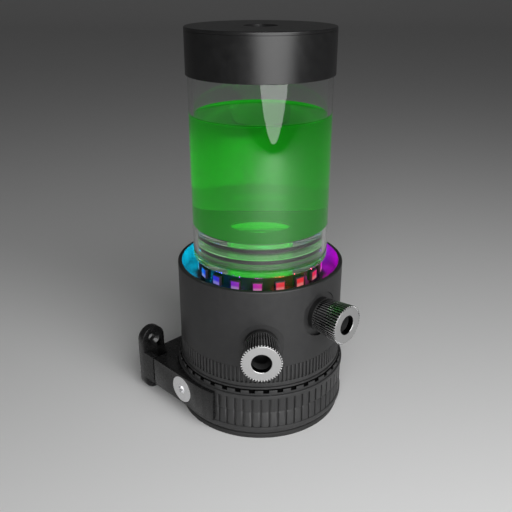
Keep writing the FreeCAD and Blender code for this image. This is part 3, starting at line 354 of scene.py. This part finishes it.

# %% [markdown]
# ## Bright metal
# The collars of the hose fittings are turned from brass and plated. Their end faces keep the fine
# rings that the turning tool leaves, so the ring pattern is centred on each fitting's own axis. The
# grooves between the ridges of the knurl hold no light, so their shade is painted into the finish by depth.

# %% Plated and plain metals
def turned_metal(name, colour, rough, centre, turn=0.0, ring_mm=0.25):
    """A bright metal with turned rings about an axis that points along +X after the turn."""
    material, tree, shader = new_finish(name)
    shader.inputs["Base Color"].default_value = (*colour, 1)
    shader.inputs["Metallic"].default_value = 1.0
    place = add_node(tree, "ShaderNodeMapping", vector_type="TEXTURE")
    place.inputs["Location"].default_value = [value * MM for value in centre]
    place.inputs["Rotation"].default_value = (0, 0, math.radians(turn))
    tree.links.new(piece_coordinates(tree), place.inputs["Vector"])
    rings = add_node(tree, "ShaderNodeTexWave", wave_type="RINGS", rings_direction="X")
    rings.inputs["Scale"].default_value = 1 / (ring_mm * MM) / 20
    rings.inputs["Distortion"].default_value = 0.4
    tree.links.new(place.outputs["Vector"], rings.inputs["Vector"])
    tree.links.new(between(tree, noise(tree, 2.5), *rough), shader.inputs["Roughness"])
    roughen(tree, shader, rings.outputs["Fac"], 0.004, 0.3)
    return material


# %% Knurled metal for the collars
COLLAR_BACK = 38.25
COLLAR_FACE = 51.4
RIDGE_DEPTH = 0.6
BACK_RADIUS = 7.5
FACE_RADIUS = 8.6
INLET_LEVEL = 57.0
OUTLET_LEVEL = 47.5
OUTLET_TURN = -44.0
PLATED = (0.55, 0.55, 0.56)
# The share of the plated colour left deep in a groove: painted shade.
GROOVE_SHADE_SHARE = 0.14
AXIS_X = (0, 1, 1)


def knurled_metal_with_groove_shade(name, level, turn):
    """Plated metal with painted shade in the grooves of a collar, darker by depth, and plain plated on its
    ridges and face.
    """
    material = turned_metal(name, PLATED, (0.10, 0.16), (0, 0, level), turn)
    tree = material.node_tree
    shader = tree.nodes["Principled BSDF"]
    place = tree.nodes["Mapping"].outputs["Vector"]
    along = coordinate(tree, place, "X")
    slope = (FACE_RADIUS - BACK_RADIUS) / (COLLAR_FACE - COLLAR_BACK)
    core = add_node(tree, "ShaderNodeMath", operation="MULTIPLY_ADD")
    core.inputs[1].default_value = -slope
    core.inputs[2].default_value = (slope * COLLAR_BACK - BACK_RADIUS + RIDGE_DEPTH) * MM
    tree.links.new(along, core.inputs[0])
    over = add_node(tree, "ShaderNodeMath", operation="ADD")
    tree.links.new(distance_from_axis(tree, place, AXIS_X), over.inputs[0])
    tree.links.new(core.outputs[0], over.inputs[1])
    # Painted shade: how deep a point lies below the ridges sets how dark its colour is.
    ridge = add_node(tree, "ShaderNodeMapRange", From_Min=0.1 * MM, From_Max=RIDGE_DEPTH * 0.8 * MM)
    ridge.inputs["To Min"].default_value = GROOVE_SHADE_SHARE
    tree.links.new(over.outputs[0], ridge.inputs["Value"])
    face = add_node(tree, "ShaderNodeMapRange")
    face.inputs["From Min"].default_value = (COLLAR_FACE - 0.3) * MM
    face.inputs["From Max"].default_value = (COLLAR_FACE - 0.15) * MM
    tree.links.new(along, face.inputs["Value"])
    bright = add_node(tree, "ShaderNodeMath", operation="MAXIMUM")
    tree.links.new(ridge.outputs[0], bright.inputs[0])
    tree.links.new(face.outputs[0], bright.inputs[1])
    # Painted shade: the base colour is near black deep in the grooves and plated on the ridges and the face.
    colour = add_node(tree, "ShaderNodeMapRange", To_Max=PLATED[0])
    tree.links.new(bright.outputs[0], colour.inputs["Value"])
    tree.links.new(colour.outputs[0], shader.inputs["Base Color"])
    return material


inlet_chrome = knurled_metal_with_groove_shade("inlet_chrome", INLET_LEVEL, 0.0)
outlet_chrome = knurled_metal_with_groove_shade("outlet_chrome", OUTLET_LEVEL, OUTLET_TURN)
SCREW_CENTRE = (-9.6, 0, 15.15)
screw_steel = turned_metal("screw_steel", (0.84, 0.84, 0.85), (0.25, 0.35), SCREW_CENTRE, 90)
brass = grained_finish("plated_brass", (0.62, 0.47, 0.20), (0.70, 0.55, 0.26), (0.25, 0.35), 0.3, 1.0)
print("finishes so far:", len(bpy.data.materials))

# %% [markdown]
# ## Turned pieces
# The glass, the coolant, the cap and the rings were all made on a lathe or poured into something that
# was. Each one here is an outline of radius and level in millimetres, swept once round the Z axis. A
# third number on a corner is how far the corner is rounded, because no real edge is sharp. The levels
# are read from the CAD nodes, so a finer piece stands exactly where the plain one stood.

# %% Outline and lathe
def soften(outline, steps=4, guard=0.02):
    """Round the corners that carry a bend, with a close guard point on both sides of each."""
    points = []
    for index, (radius, level, *bend) in enumerate(outline):
        corner = Vector((radius, level))
        if not bend:
            points.append(corner)
            continue
        before = Vector(outline[index - 1][:2]) - corner
        after = Vector(outline[(index + 1) % len(outline)][:2]) - corner
        reach = min(bend[0], before.length * 0.45, after.length * 0.45)
        start = corner + before.normalized() * reach
        end = corner + after.normalized() * reach
        points.append(start + before.normalized() * guard)
        for step in range(steps + 1):
            share = step / steps
            points.append(start.lerp(corner, share).lerp(corner.lerp(end, share), share))
        points.append(end + after.normalized() * guard)
    return points


def new_piece(name, shape, finish=None, crease=35):
    """An object from a bmesh, smooth but for its creases."""
    mesh = bpy.data.meshes.new(name)
    shape.to_mesh(mesh)
    shape.free()
    mesh.shade_smooth()
    mesh.set_sharp_from_angle(angle=math.radians(crease))
    if finish:
        mesh.materials.append(finish)
    piece = bpy.data.objects.new(name, mesh)
    bpy.context.collection.objects.link(piece)
    return piece


def lathe(name, outline, finish=None, segments=192):
    """Sweep a closed outline round the Z axis."""
    points = soften(outline)
    shape = bmesh.new()
    rings = []
    for segment in range(segments):
        turn = 2 * math.pi * segment / segments
        across = Vector((math.cos(turn), math.sin(turn), 0))
        places = [across * point.x + Vector((0, 0, point.y)) for point in points]
        rings.append([shape.verts.new(place * MM) for place in places])
    for index, ring in enumerate(rings):
        following = rings[(index + 1) % segments]
        for low in range(len(ring)):
            high = (low + 1) % len(ring)
            if max(points[low].x, points[high].x) > 0:
                shape.faces.new((ring[low], following[low], following[high], ring[high]))
    bmesh.ops.remove_doubles(shape, verts=shape.verts, dist=1e-7)
    bmesh.ops.recalc_face_normals(shape, faces=shape.faces)
    return new_piece(name, shape, finish)


def settle(piece, body, slot, *nodes):
    """Let a piece ride on its body in place of its nodes; slot is not used."""
    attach(piece, body)
    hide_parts(*nodes)
    print(piece.name, "faces:", len(piece.data.polygons))


def reach_of(node):
    """Outer radius, base and top of a node about the Z axis, in millimetres."""
    low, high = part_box(node)
    return high[0] / MM, low[2] / MM, high[2] / MM


# %% [markdown]
# ## The reservoir
# The tube is plain borosilicate glass with flame-rounded ends. The clear plug under it carries two
# seals. The coolant fills the tube to about half and climbs a little where it touches the glass. It
# reaches a trace into the glass, as a liquid that wets its glass is drawn, so that the glass makes it
# look as wide as the tube. A hair of air is left between the coolant and the plug's top.

# %% Glass tube, clear plug and coolant
tube_radius, tube_base, tube_top = reach_of("glass_tube")
TUBE_WALL = 2.0
tube_inner = tube_radius - TUBE_WALL
glass_tube = lathe("reservoir_glass", [
    (tube_inner, tube_base, 0.3), (tube_radius, tube_base, 0.5),
    (tube_radius, tube_top, 0.5), (tube_inner, tube_top, 0.3)], clear_glass, 256)
settle(glass_tube, "top", "clear_glass", "glass_tube")

_, plug_bottom, plug_top = reach_of("clear_base_plug")
PLUG_BORE = 9.5
PLUG_THREAD = 20.0
PLUG_FLANGE = 2.6
PLUG_RADIUS = tube_inner - 0.05
SEAL_DEPTH = 1.55
SEAL_WIDTH = 2.4
seal_half = SEAL_WIDTH / 2
flange_bottom = tube_base - PLUG_FLANGE
plug_outline = [
    (PLUG_BORE, plug_bottom, 0.3), (PLUG_THREAD, plug_bottom, 0.5), (PLUG_THREAD, flange_bottom),
    (tube_radius, flange_bottom, 0.4), (tube_radius, tube_base - 0.02, 0.3), (PLUG_RADIUS, tube_base - 0.02)]
groove_radius = PLUG_RADIUS - SEAL_DEPTH
for seal_level in (tube_base + 3.4, tube_base + 8.4):
    plug_outline += [
        (PLUG_RADIUS, seal_level - seal_half, 0.15), (groove_radius, seal_level - seal_half),
        (groove_radius, seal_level + seal_half), (PLUG_RADIUS, seal_level + seal_half, 0.15)]
plug_outline += [(PLUG_RADIUS, plug_top, 0.4), (PLUG_BORE, plug_top, 0.8)]
base_plug = lathe("reservoir_plug", plug_outline, clear_acrylic, 256)
settle(base_plug, "top", "clear_acrylic", "clear_base_plug")

_, coolant_bottom, coolant_top = reach_of("coolant")
AIR_HAIR = 0.04
WETTING = 0.03
THROAT_RADIUS = 7.8
CLIMB = ((0.0, 0.9), (0.25, 0.45), (0.9, 0.1))
wet_radius = tube_inner + WETTING
coolant_outline = [
    (0, coolant_bottom + AIR_HAIR), (THROAT_RADIUS, coolant_bottom + AIR_HAIR, 0.3),
    (THROAT_RADIUS, plug_bottom - AIR_HAIR), (PLUG_BORE + WETTING, plug_bottom - AIR_HAIR, 0.3),
    (PLUG_BORE + WETTING, plug_top + AIR_HAIR, 0.2), (wet_radius, plug_top + AIR_HAIR, 0.2)]
coolant_outline += [(wet_radius - inwards, coolant_top + height) for inwards, height in CLIMB]
coolant_outline += [(wet_radius - 2.0, coolant_top, 0.4), (0, coolant_top)]
coolant_piece = lathe("coolant_fill", coolant_outline, green_coolant, 256)
settle(coolant_piece, "top", "green_coolant", "coolant")

# %% [markdown]
# ## The cap
# The cap is turned from bar and anodised matt black. A fine line runs round it just under the rounded
# top edge, and its threaded port is a G1/4 hole with the thread's rings showing inside.

# %% Cap
cap_radius, _, cap_top = reach_of("top_cap")
CAP_SKIRT = 12.2
CAP_PLUG = 10.0
PORT_RADIUS = 6.2
cap_base = tube_top - CAP_SKIRT
plug_end = tube_top - CAP_PLUG
cap_seal = plug_end + CAP_PLUG / 2
THREAD_PITCH = 1.337
THREAD_DEPTH = 0.45
THREAD_RINGS = 6
BOSS_RADIUS = 9.5
BOSS_END = 9.3
CAP_PLATE = 3.5
CAP_PLUG_WALL = 2.6
FIT = 0.05
LINE_TOP = 1.3
LINE_MIDDLE = 1.38
LINE_BOTTOM = 1.45
LINE_DEPTH = 0.12
thread_top = cap_top - 0.8
boss_end = cap_top - BOSS_END
plug_wall = PLUG_RADIUS - CAP_PLUG_WALL
cap_outline = [(PORT_RADIUS + 0.3, boss_end, 0.2), (BOSS_RADIUS, boss_end, 0.4),
               (BOSS_RADIUS, cap_top - CAP_PLATE), (plug_wall, cap_top - CAP_PLATE),
               (plug_wall, plug_end, 0.3), (PLUG_RADIUS, plug_end, 0.5), (PLUG_RADIUS, cap_seal - seal_half),
               (groove_radius, cap_seal - seal_half), (groove_radius, cap_seal + seal_half),
               (PLUG_RADIUS, cap_seal + seal_half), (PLUG_RADIUS, tube_top + FIT),
               (tube_radius + FIT, tube_top + FIT), (tube_radius + FIT, cap_base, 0.15),
               (cap_radius, cap_base, 0.2), (cap_radius, cap_top - LINE_BOTTOM),
               (cap_radius - LINE_DEPTH, cap_top - LINE_MIDDLE), (cap_radius, cap_top - LINE_TOP),
               (cap_radius, cap_top, 0.95), (PORT_RADIUS + 0.9, cap_top, 0.1)]
for ring in range(THREAD_RINGS):
    ring_level = thread_top - ring * THREAD_PITCH
    cap_outline += [(PORT_RADIUS + THREAD_DEPTH, ring_level), (PORT_RADIUS, ring_level - THREAD_PITCH / 2)]
cap_piece = lathe("reservoir_cap", cap_outline, black_metal)
settle(cap_piece, "cap", "black_metal", "top_cap")

# %% [markdown]
# ## Teeth round a ring
# Flutes, notches, knurls and the little lights are all the same idea: one small block, repeated at even
# steps round an axis. A Geometry Nodes tree does this once for all of them. It takes the turned body as
# its geometry, sets a copy of the tooth at every step, makes the copies real, turns the whole to its
# axis and gives it its finish.

# %% A tree that sets teeth round a ring
def ring_of_teeth():
    """Build the tree and return it."""
    tree = bpy.data.node_groups.new("teeth_round_a_ring", "GeometryNodeTree")
    inputs = (("Body", "Geometry"), ("Tooth", "Object"), ("Count", "Int"), ("First Angle", "Float"),
              ("Axis Turn", "Vector"), ("Centre", "Vector"), ("Finish", "Material"))
    for name, kind in inputs:
        tree.interface.new_socket(name=name, in_out="INPUT", socket_type=f"NodeSocket{kind}")
    tree.interface.new_socket(name="Piece", in_out="OUTPUT", socket_type="NodeSocketGeometry")
    source = add_node(tree, "NodeGroupInput")
    points = add_node(tree, "GeometryNodePoints")
    index = add_node(tree, "GeometryNodeInputIndex")
    step = add_node(tree, "ShaderNodeMath", operation="DIVIDE")
    step.inputs[0].default_value = 2 * math.pi
    angle = add_node(tree, "ShaderNodeMath", operation="MULTIPLY_ADD")
    turn = add_node(tree, "ShaderNodeCombineXYZ")
    turn_to = add_node(tree, "FunctionNodeEulerToRotation")
    tooth = add_node(tree, "GeometryNodeObjectInfo")
    copies = add_node(tree, "GeometryNodeInstanceOnPoints")
    real = add_node(tree, "GeometryNodeRealizeInstances")
    joined = add_node(tree, "GeometryNodeJoinGeometry")
    axis = add_node(tree, "FunctionNodeEulerToRotation")
    moved = add_node(tree, "GeometryNodeTransform")
    painted = add_node(tree, "GeometryNodeSetMaterial")
    target = add_node(tree, "NodeGroupOutput")
    for start, end in (
            (source.outputs["Count"], points.inputs["Count"]),
            (source.outputs["Count"], step.inputs[1]),
            (index.outputs[0], angle.inputs[0]),
            (step.outputs[0], angle.inputs[1]),
            (source.outputs["First Angle"], angle.inputs[2]),
            (angle.outputs[0], turn.inputs["Z"]),
            (turn.outputs[0], turn_to.inputs[0]),
            (source.outputs["Tooth"], tooth.inputs["Object"]),
            (points.outputs[0], copies.inputs["Points"]),
            (tooth.outputs["Geometry"], copies.inputs["Instance"]),
            (turn_to.outputs[0], copies.inputs["Rotation"]),
            (copies.outputs[0], joined.inputs[0]),
            (source.outputs["Body"], joined.inputs[0]),
            (joined.outputs[0], moved.inputs["Geometry"]),
            (source.outputs["Axis Turn"], axis.inputs[0]),
            (axis.outputs[0], moved.inputs["Rotation"]),
            (source.outputs["Centre"], moved.inputs["Translation"]),
            (moved.outputs[0], real.inputs[0]),
            (real.outputs[0], painted.inputs["Geometry"]),
            (source.outputs["Finish"], painted.inputs["Material"]),
            (painted.outputs[0], target.inputs[0])):
        tree.links.new(start, end)
    return tree


RING_TREE = ring_of_teeth()


def repeat_round(body, tooth, count, first_degrees, finish, axis_turn=(0, 0, 0), centre=(0, 0, 0)):
    """Run the tree on a turned body and keep the result as the body's plain mesh."""
    settings = {"Tooth": tooth, "Count": count, "First Angle": math.radians(first_degrees), "Finish": finish,
                "Axis Turn": [math.radians(value) for value in axis_turn],
                "Centre": [value * MM for value in centre]}
    modifier = body.modifiers.new("teeth", "NODES")
    modifier.node_group = RING_TREE
    for socket in RING_TREE.interface.items_tree:
        if socket.name in settings:
            modifier[socket.identifier] = settings[socket.name]
    mesh = bpy.data.meshes.new_from_object(body.evaluated_get(bpy.context.evaluated_depsgraph_get()))
    mesh.name = body.name
    body.modifiers.remove(modifier)
    body.data = mesh
    bpy.data.objects.remove(tooth)
    return body


def block_tooth(width, foot, head, bend):
    """One bevelled tooth on the +X side; foot and head are (level, inner radius, outer radius)."""
    shape = bmesh.new()
    rows = []
    for level, inner, outer in (foot, head):
        corners = ((inner, -width / 2), (outer, -width / 2), (outer, width / 2), (inner, width / 2))
        rows.append([shape.verts.new((x * MM, y * MM, level * MM)) for x, y in corners])
    shape.faces.new(rows[0][::-1])
    shape.faces.new(rows[1])
    for side in range(4):
        following = (side + 1) % 4
        shape.faces.new((rows[0][side], rows[0][following], rows[1][following], rows[1][side]))
    bmesh.ops.bevel(shape, geom=shape.edges[:], offset=bend * MM, segments=2, affect="EDGES", profile=0.5)
    bmesh.ops.recalc_face_normals(shape, faces=shape.faces)
    return new_piece("tooth", shape, crease=50)


# %% [markdown]
# ## The two rings
# A lock ring with 120 flutes holds the housing down, and under it a nut with 39 wrench notches holds
# the sleeve. Light catches the edge of each tooth, so the teeth are bevelled blocks on a turned core.

# %% Lock ring
bead_radius, ring_base, ring_top = reach_of("lock_ring")
RING_BEAD = 0.5
RING_BORE = 33.0
SPIGOT_RADIUS = 34.65
LEDGE = 2.8
FLUTES = 120
FLUTE_WIDTH = 1.0
FLUTE_DEPTH = 0.8
FLUTE_LENGTH = 7.6
FLUTE_TURN = 1.5
ring_radius = bead_radius - RING_BEAD
bead_top = ring_base + 0.95
line_top = bead_top + 0.3
flute_base = ring_top - FLUTE_LENGTH
core_radius = ring_radius - FLUTE_DEPTH
lock_body = lathe("fluted_lock_ring", [
    (RING_BORE, ring_base, 0.2), (bead_radius, ring_base, 0.25), (bead_radius, bead_top, 0.2),
    (ring_radius - 0.3, bead_top), (ring_radius - 0.3, line_top), (ring_radius, line_top, 0.2),
    (ring_radius, flute_base, 0.2), (core_radius, flute_base), (core_radius, ring_top, 0.15),
    (SPIGOT_RADIUS, ring_top, 0.15), (SPIGOT_RADIUS, ring_base + LEDGE), (RING_BORE, ring_base + LEDGE)])
flute_tooth = block_tooth(2 * math.pi * ring_radius / FLUTES - FLUTE_WIDTH,
                          (flute_base - 0.1, core_radius - 0.3, ring_radius),
                          (ring_top, core_radius - 0.3, ring_radius), 0.14)
lock_piece = repeat_round(lock_body, flute_tooth, FLUTES, FLUTE_TURN, black_plastic)
settle(lock_piece, "lock_ring", "black_plastic", "lock_ring")

# %% A finish with painted shade deep in a notch
def painted_shade_inside(material, name, radius):
    """The same finish with painted shade: almost black and without gloss nearer to the Z axis than radius,
    deep in a notch.
    """
    dark = material.copy()
    dark.name = name
    tree = dark.node_tree
    shader = tree.nodes["Principled BSDF"]
    outer = add_node(tree, "ShaderNodeMapRange", From_Min=(radius - 0.2) * MM, From_Max=radius * MM)
    tree.links.new(distance_from_axis(tree, piece_coordinates(tree), AXIS_Z), outer.inputs["Value"])
    mixed = add_node(tree, "ShaderNodeMix", data_type="RGBA")
    tree.links.new(outer.outputs["Result"], mixed.inputs[0])
    # Painted shade: the notch floor is set almost black.
    mixed.inputs[MIX_A].default_value = (0.003, 0.003, 0.003, 1)
    tree.links.new(shader.inputs["Base Color"].links[0].from_socket, mixed.inputs[MIX_B])
    tree.links.new(mixed.outputs[MIX_COLOUR], shader.inputs["Base Color"])
    # Painted shade: the gloss fades out in the notch as well.
    gloss = add_node(tree, "ShaderNodeMapRange", To_Max=shader.inputs["Specular IOR Level"].default_value)
    tree.links.new(outer.outputs["Result"], gloss.inputs["Value"])
    tree.links.new(gloss.outputs["Result"], shader.inputs["Specular IOR Level"])
    return dark


NUT_RADIUS = 38.7
nut_black = painted_shade_inside(black_plastic, "nut_black", NUT_RADIUS - 0.3)
print("nut finish:", nut_black.name)

# %% Nut
_, nut_base, nut_top = reach_of("ring_nut")
NUT_BORE = 36.05
NOTCHES = 39
NOTCH_WIDTH = 2.6
NOTCH_DEPTH = 1.2
NOTCH_HEIGHT = 1.4
NOTCH_TURN = 5.5
notch_base = nut_top - NOTCH_HEIGHT
notch_floor = NUT_RADIUS - NOTCH_DEPTH
tooth_face = NUT_RADIUS - 0.02
nut_body = lathe("notched_ring_nut", [
    (NUT_BORE, nut_base, 0.15), (NUT_RADIUS, nut_base, 0.2), (NUT_RADIUS, notch_base, 0.1),
    (notch_floor, notch_base), (notch_floor, nut_top, 0.1), (NUT_BORE, nut_top, 0.15)])
nut_tooth = block_tooth(2 * math.pi * NUT_RADIUS / NOTCHES - NOTCH_WIDTH,
                        (notch_base - 0.2, notch_floor - 0.4, tooth_face),
                        (nut_top, notch_floor - 0.4, tooth_face), 0.1)
nut_piece = repeat_round(nut_body, nut_tooth, NOTCHES, NOTCH_TURN + 180 / NOTCHES, nut_black)
settle(nut_piece, "base", "black_metal", "ring_nut")

# %% [markdown]
# ## Knurled collars
# The collar of each hose fitting is a plated cone with 44 straight ridges for the fingers and a flat
# polished face. It is turned and knurled about the Z axis first, and the tree then lays it down
# along its own port.

# %% Collars
COLLAR_END = 2.6
RIDGES = 44
RIDGE_WIDTH = 0.6
RIDGE_ROOT = 0.8
THREAD_RADIUS = 6.35
HOSE_RADIUS = 4.2
for port, level, turn, finish in (
        ("inlet", INLET_LEVEL, 0.0, inlet_chrome), ("outlet", OUTLET_LEVEL, OUTLET_TURN, outlet_chrome)):
    collar_body = lathe(f"{port}_knurled_collar", [
        (THREAD_RADIUS, COLLAR_BACK, 0.2), (BACK_RADIUS - RIDGE_DEPTH, COLLAR_BACK, 0.2),
        (FACE_RADIUS - RIDGE_DEPTH, COLLAR_FACE, 0.25), (HOSE_RADIUS, COLLAR_FACE, 0.3),
        (HOSE_RADIUS, COLLAR_FACE - COLLAR_END), (THREAD_RADIUS, COLLAR_FACE - COLLAR_END)], segments=132)
    ridge = block_tooth(RIDGE_WIDTH, (COLLAR_BACK, BACK_RADIUS - RIDGE_ROOT, BACK_RADIUS),
                        (COLLAR_FACE, FACE_RADIUS - RIDGE_ROOT, FACE_RADIUS), 0.12)
    collar = repeat_round(collar_body, ridge, RIDGES, 0, finish, (0, 90, turn), (0, 0, level))
    settle(collar, f"{port}_collar", "chrome_fitting", f"{port}_collar")

# %% [markdown]
# ## Lights round the neck
# Eighteen square light packages look outwards from a strip round the neck. Each has a black case
# and a bright window, and the colour runs round the ring from blue through red to magenta and back. One
# finish does it: the angle about the Z axis goes into a colour ramp. The lower half of each window is
# paler, with the light strip's reflection painted into its glow.

# %% A finish that changes colour with the angle
ANGLE_COLOURS = (
    (-180, (0, 0.75, 1)), (-127, (0, 0.6, 1)), (-107, (0, 0.10, 1)), (-87, (0.02, 0.02, 0.8)),
    (-67, (0.28, 0.01, 0.6)), (-47, (0.6, 0.01, 0.45)), (-27, (1, 0.03, 0.04)), (-7, (1, 0.01, 0.02)),
    (13, (1, 0.01, 0.06)), (33, (0.9, 0, 0.7)), (60, (0.6, 0, 0.8)), (100, (0.25, 0.03, 0.9)),
    (140, (0.02, 0.15, 1)), (180, (0, 0.75, 1)))
# A painted reflection of the light strip: how much of the window's lower half turns pale, and the pale
# colour.
STRIP_REFLECTION_SHARE = 0.32
STRIP_REFLECTION_COLOUR = (0.85, 0.75, 0.7, 1)


def rainbow_finish(name, strength, middle):
    """Light whose colour follows the angle about the Z axis, with a painted reflection of the light strip
    that makes it paler below the middle of a window.
    """
    material, tree, shader = new_finish(name)
    angle = add_node(tree, "ShaderNodeTexGradient", gradient_type="RADIAL")
    tree.links.new(piece_coordinates(tree), angle.inputs["Vector"])
    stops = [(degrees / 360 + 0.5, colour) for degrees, colour in ANGLE_COLOURS]
    hue = colour_stops(tree, angle.outputs["Fac"], stops)
    lower = add_node(tree, "ShaderNodeMapRange", From_Min=(middle - 0.7) * MM, From_Max=(middle + 0.1) * MM,
                     To_Min=STRIP_REFLECTION_SHARE, To_Max=0.0)
    tree.links.new(coordinate(tree, piece_coordinates(tree), "Z"), lower.inputs["Value"])
    # Painted reflection: the glow is mixed towards the pale colour below the window's middle.
    painted_reflection = add_node(tree, "ShaderNodeMix", data_type="RGBA")
    tree.links.new(lower.outputs["Result"], painted_reflection.inputs[0])
    tree.links.new(hue, painted_reflection.inputs[MIX_A])
    painted_reflection.inputs[MIX_B].default_value = STRIP_REFLECTION_COLOUR
    tree.links.new(painted_reflection.outputs[MIX_COLOUR], shader.inputs["Emission Color"])
    shader.inputs["Base Color"].default_value = (0.03, 0.03, 0.03, 1)
    shader.inputs["Roughness"].default_value = 0.35
    shader.inputs["Specular IOR Level"].default_value = 0.2
    shader.inputs["Emission Strength"].default_value = strength
    return material


_, light_low, light_high = reach_of("lights")
light_level = (light_low + light_high) / 2
rainbow_window = rainbow_finish("rainbow_window", 0.62, light_level)
print("lights at level:", round(light_level, 2), "mm")

# %% Light packages
LIGHT_COUNT = 18
LIGHT_TURN = -47.0
LIGHT_SIDE = 4.5
LIGHT_BACK = 26.7
LIGHT_FRONT = 28.2
CASE_STEP = 0.15
WINDOW_SIDE = 3.6
WINDOW_DEPTH = 0.6
window_margin = (LIGHT_SIDE - WINDOW_SIDE) / 2
case_front = LIGHT_FRONT - CASE_STEP
window_back = LIGHT_FRONT - WINDOW_DEPTH


def empty_body(name):
    """A body without faces, for a ring that is nothing but teeth."""
    return new_piece(name, bmesh.new())


case_tooth = block_tooth(LIGHT_SIDE, (light_low, LIGHT_BACK, case_front),
                         (light_high, LIGHT_BACK, case_front), 0.2)
cases = repeat_round(empty_body("light_cases"), case_tooth, LIGHT_COUNT, LIGHT_TURN, black_plastic)
settle(cases, "top", "light_white", "lights")
window_tooth = block_tooth(WINDOW_SIDE, (light_low + window_margin, window_back, LIGHT_FRONT),
                           (light_high - window_margin, window_back, LIGHT_FRONT), 0.12)
windows = repeat_round(empty_body("light_windows"), window_tooth, LIGHT_COUNT, LIGHT_TURN, rainbow_window)
settle(windows, "top", "light_white", "lights")

# %% [markdown]
# ## The light that the packages throw
# A glowing surface this small would light the channel only with much grain, so each package also gets
# a small lamp just in front of its window, in the same colour.

# %% Lamps at the packages
LAMP_POWER = 0.02
LAMP_SIDE = 4.0
LAMP_GAP = 0.3
LAMP_AIM = 50.0


def rainbow_colour(degrees):
    """The colour of the ring at an angle."""
    degrees = (degrees + 180) % 360 - 180
    for (low, low_colour), (high, high_colour) in zip(ANGLE_COLOURS, ANGLE_COLOURS[1:]):
        if low <= degrees <= high:
            share = (degrees - low) / (high - low)
            return tuple(a + (b - a) * share for a, b in zip(low_colour, high_colour))
    return ANGLE_COLOURS[0][1]


for number in range(LIGHT_COUNT):
    degrees = LIGHT_TURN + number * 360 / LIGHT_COUNT
    outwards = Vector((math.cos(math.radians(degrees)), math.sin(math.radians(degrees)), 0))
    level = Vector((0, 0, light_level))
    lamp = soft_lamp(f"package_lamp_{number}", LAMP_POWER, (LAMP_SIDE * MM, LAMP_SIDE * MM),
                     (outwards * (LIGHT_FRONT + LAMP_GAP) + level) * MM, (outwards * LAMP_AIM + level) * MM,
                     "SQUARE", rainbow_colour(degrees))
    lamp.visible_camera = False
print("package lamps:", LIGHT_COUNT)

# %% [markdown]
# ## Finishes for the nodes that keep their CAD shape
# A node whose shape is right keeps its mesh and only changes its finish.

# %% Inner finishes
board_finish = grained_finish("board_green", (0.008, 0.06, 0.02), (0.015, 0.10, 0.035), (0.3, 0.45), 0.6)
steel_finish = grained_finish("stator_steel", (0.25, 0.25, 0.26), (0.34, 0.34, 0.35), (0.4, 0.55), 0.3, 1.0)
copper_finish = grained_finish("copper_wire", (0.50, 0.20, 0.08), (0.64, 0.28, 0.12), (0.25, 0.4), 0.3, 1.0)
magnet_finish = grained_finish("magnet", (0.05, 0.05, 0.055), (0.08, 0.08, 0.085), (0.4, 0.5), 0.3)
ceramic_finish = grained_finish("bearing_ceramic", (0.72, 0.71, 0.68), (0.8, 0.79, 0.76), (0.2, 0.3), 0.3)
strip_finish = grained_finish("strip_lacquer", (0.002, 0.03, 0.006), (0.004, 0.045, 0.01), (0.12, 0.18), 0.5)

# %% Dress the CAD nodes
NODE_FINISH = {
    "foot_pad": black_rubber, "motor_can": black_plastic, "control_board": board_finish,
    "board_chips": black_plastic, "power_socket": black_plastic, "socket_contacts": brass,
    "stator_core": steel_finish, "stator_windings": copper_finish, "isolation_cup": black_plastic,
    "bearing_pin": ceramic_finish, "cup_screws": screw_steel, "damper_sleeve": black_plastic,
    "bracket_block": satin_black, "bracket_foot": satin_black, "foot_screw": screw_steel,
    "clamp_screw": screw_steel, "rotor_magnet": magnet_finish, "rotor_bush": ceramic_finish,
    "impeller": black_plastic, "pump_housing": housing_plastic, "flange_o_ring": black_rubber,
    "light_strip": strip_finish, "base_o_rings": black_rubber, "inlet_fitting": black_metal,
    "inlet_o_ring": black_rubber, "outlet_fitting": black_metal, "outlet_o_ring": black_rubber,
    "cap_o_ring": black_rubber, "inlet_ferrule": black_plastic, "outlet_ferrule": black_plastic,
}
for node_name, finish in NODE_FINISH.items():
    mesh = NODES[node_name].data
    mesh.materials.clear()
    mesh.materials.append(finish)
print("nodes dressed:", len(NODE_FINISH))

# %% [markdown]
# Three of the kept nodes have edges that catch the light. They get a small round on every edge from
# live modifiers, and their own mesh stays as the CAD made it.

# %% Softer edges on the sleeve and the bracket
SOFT_EDGE = 0.16


def soften_node(node, width, angle=40):
    """Round a CAD node's edges a little."""
    piece = NODES[node]
    weld = piece.modifiers.new("weld", "WELD")
    weld.merge_threshold = 0.002 * MM
    bevel = piece.modifiers.new("bevel", "BEVEL")
    bevel.width = width * MM
    bevel.segments = 2
    bevel.limit_method = "ANGLE"
    bevel.angle_limit = math.radians(angle)
    bevel.harden_normals = True
    piece.data.shade_smooth()


for node_name in ("damper_sleeve", "bracket_block", "bracket_foot"):
    soften_node(node_name, SOFT_EDGE)
    print(node_name, "softened")
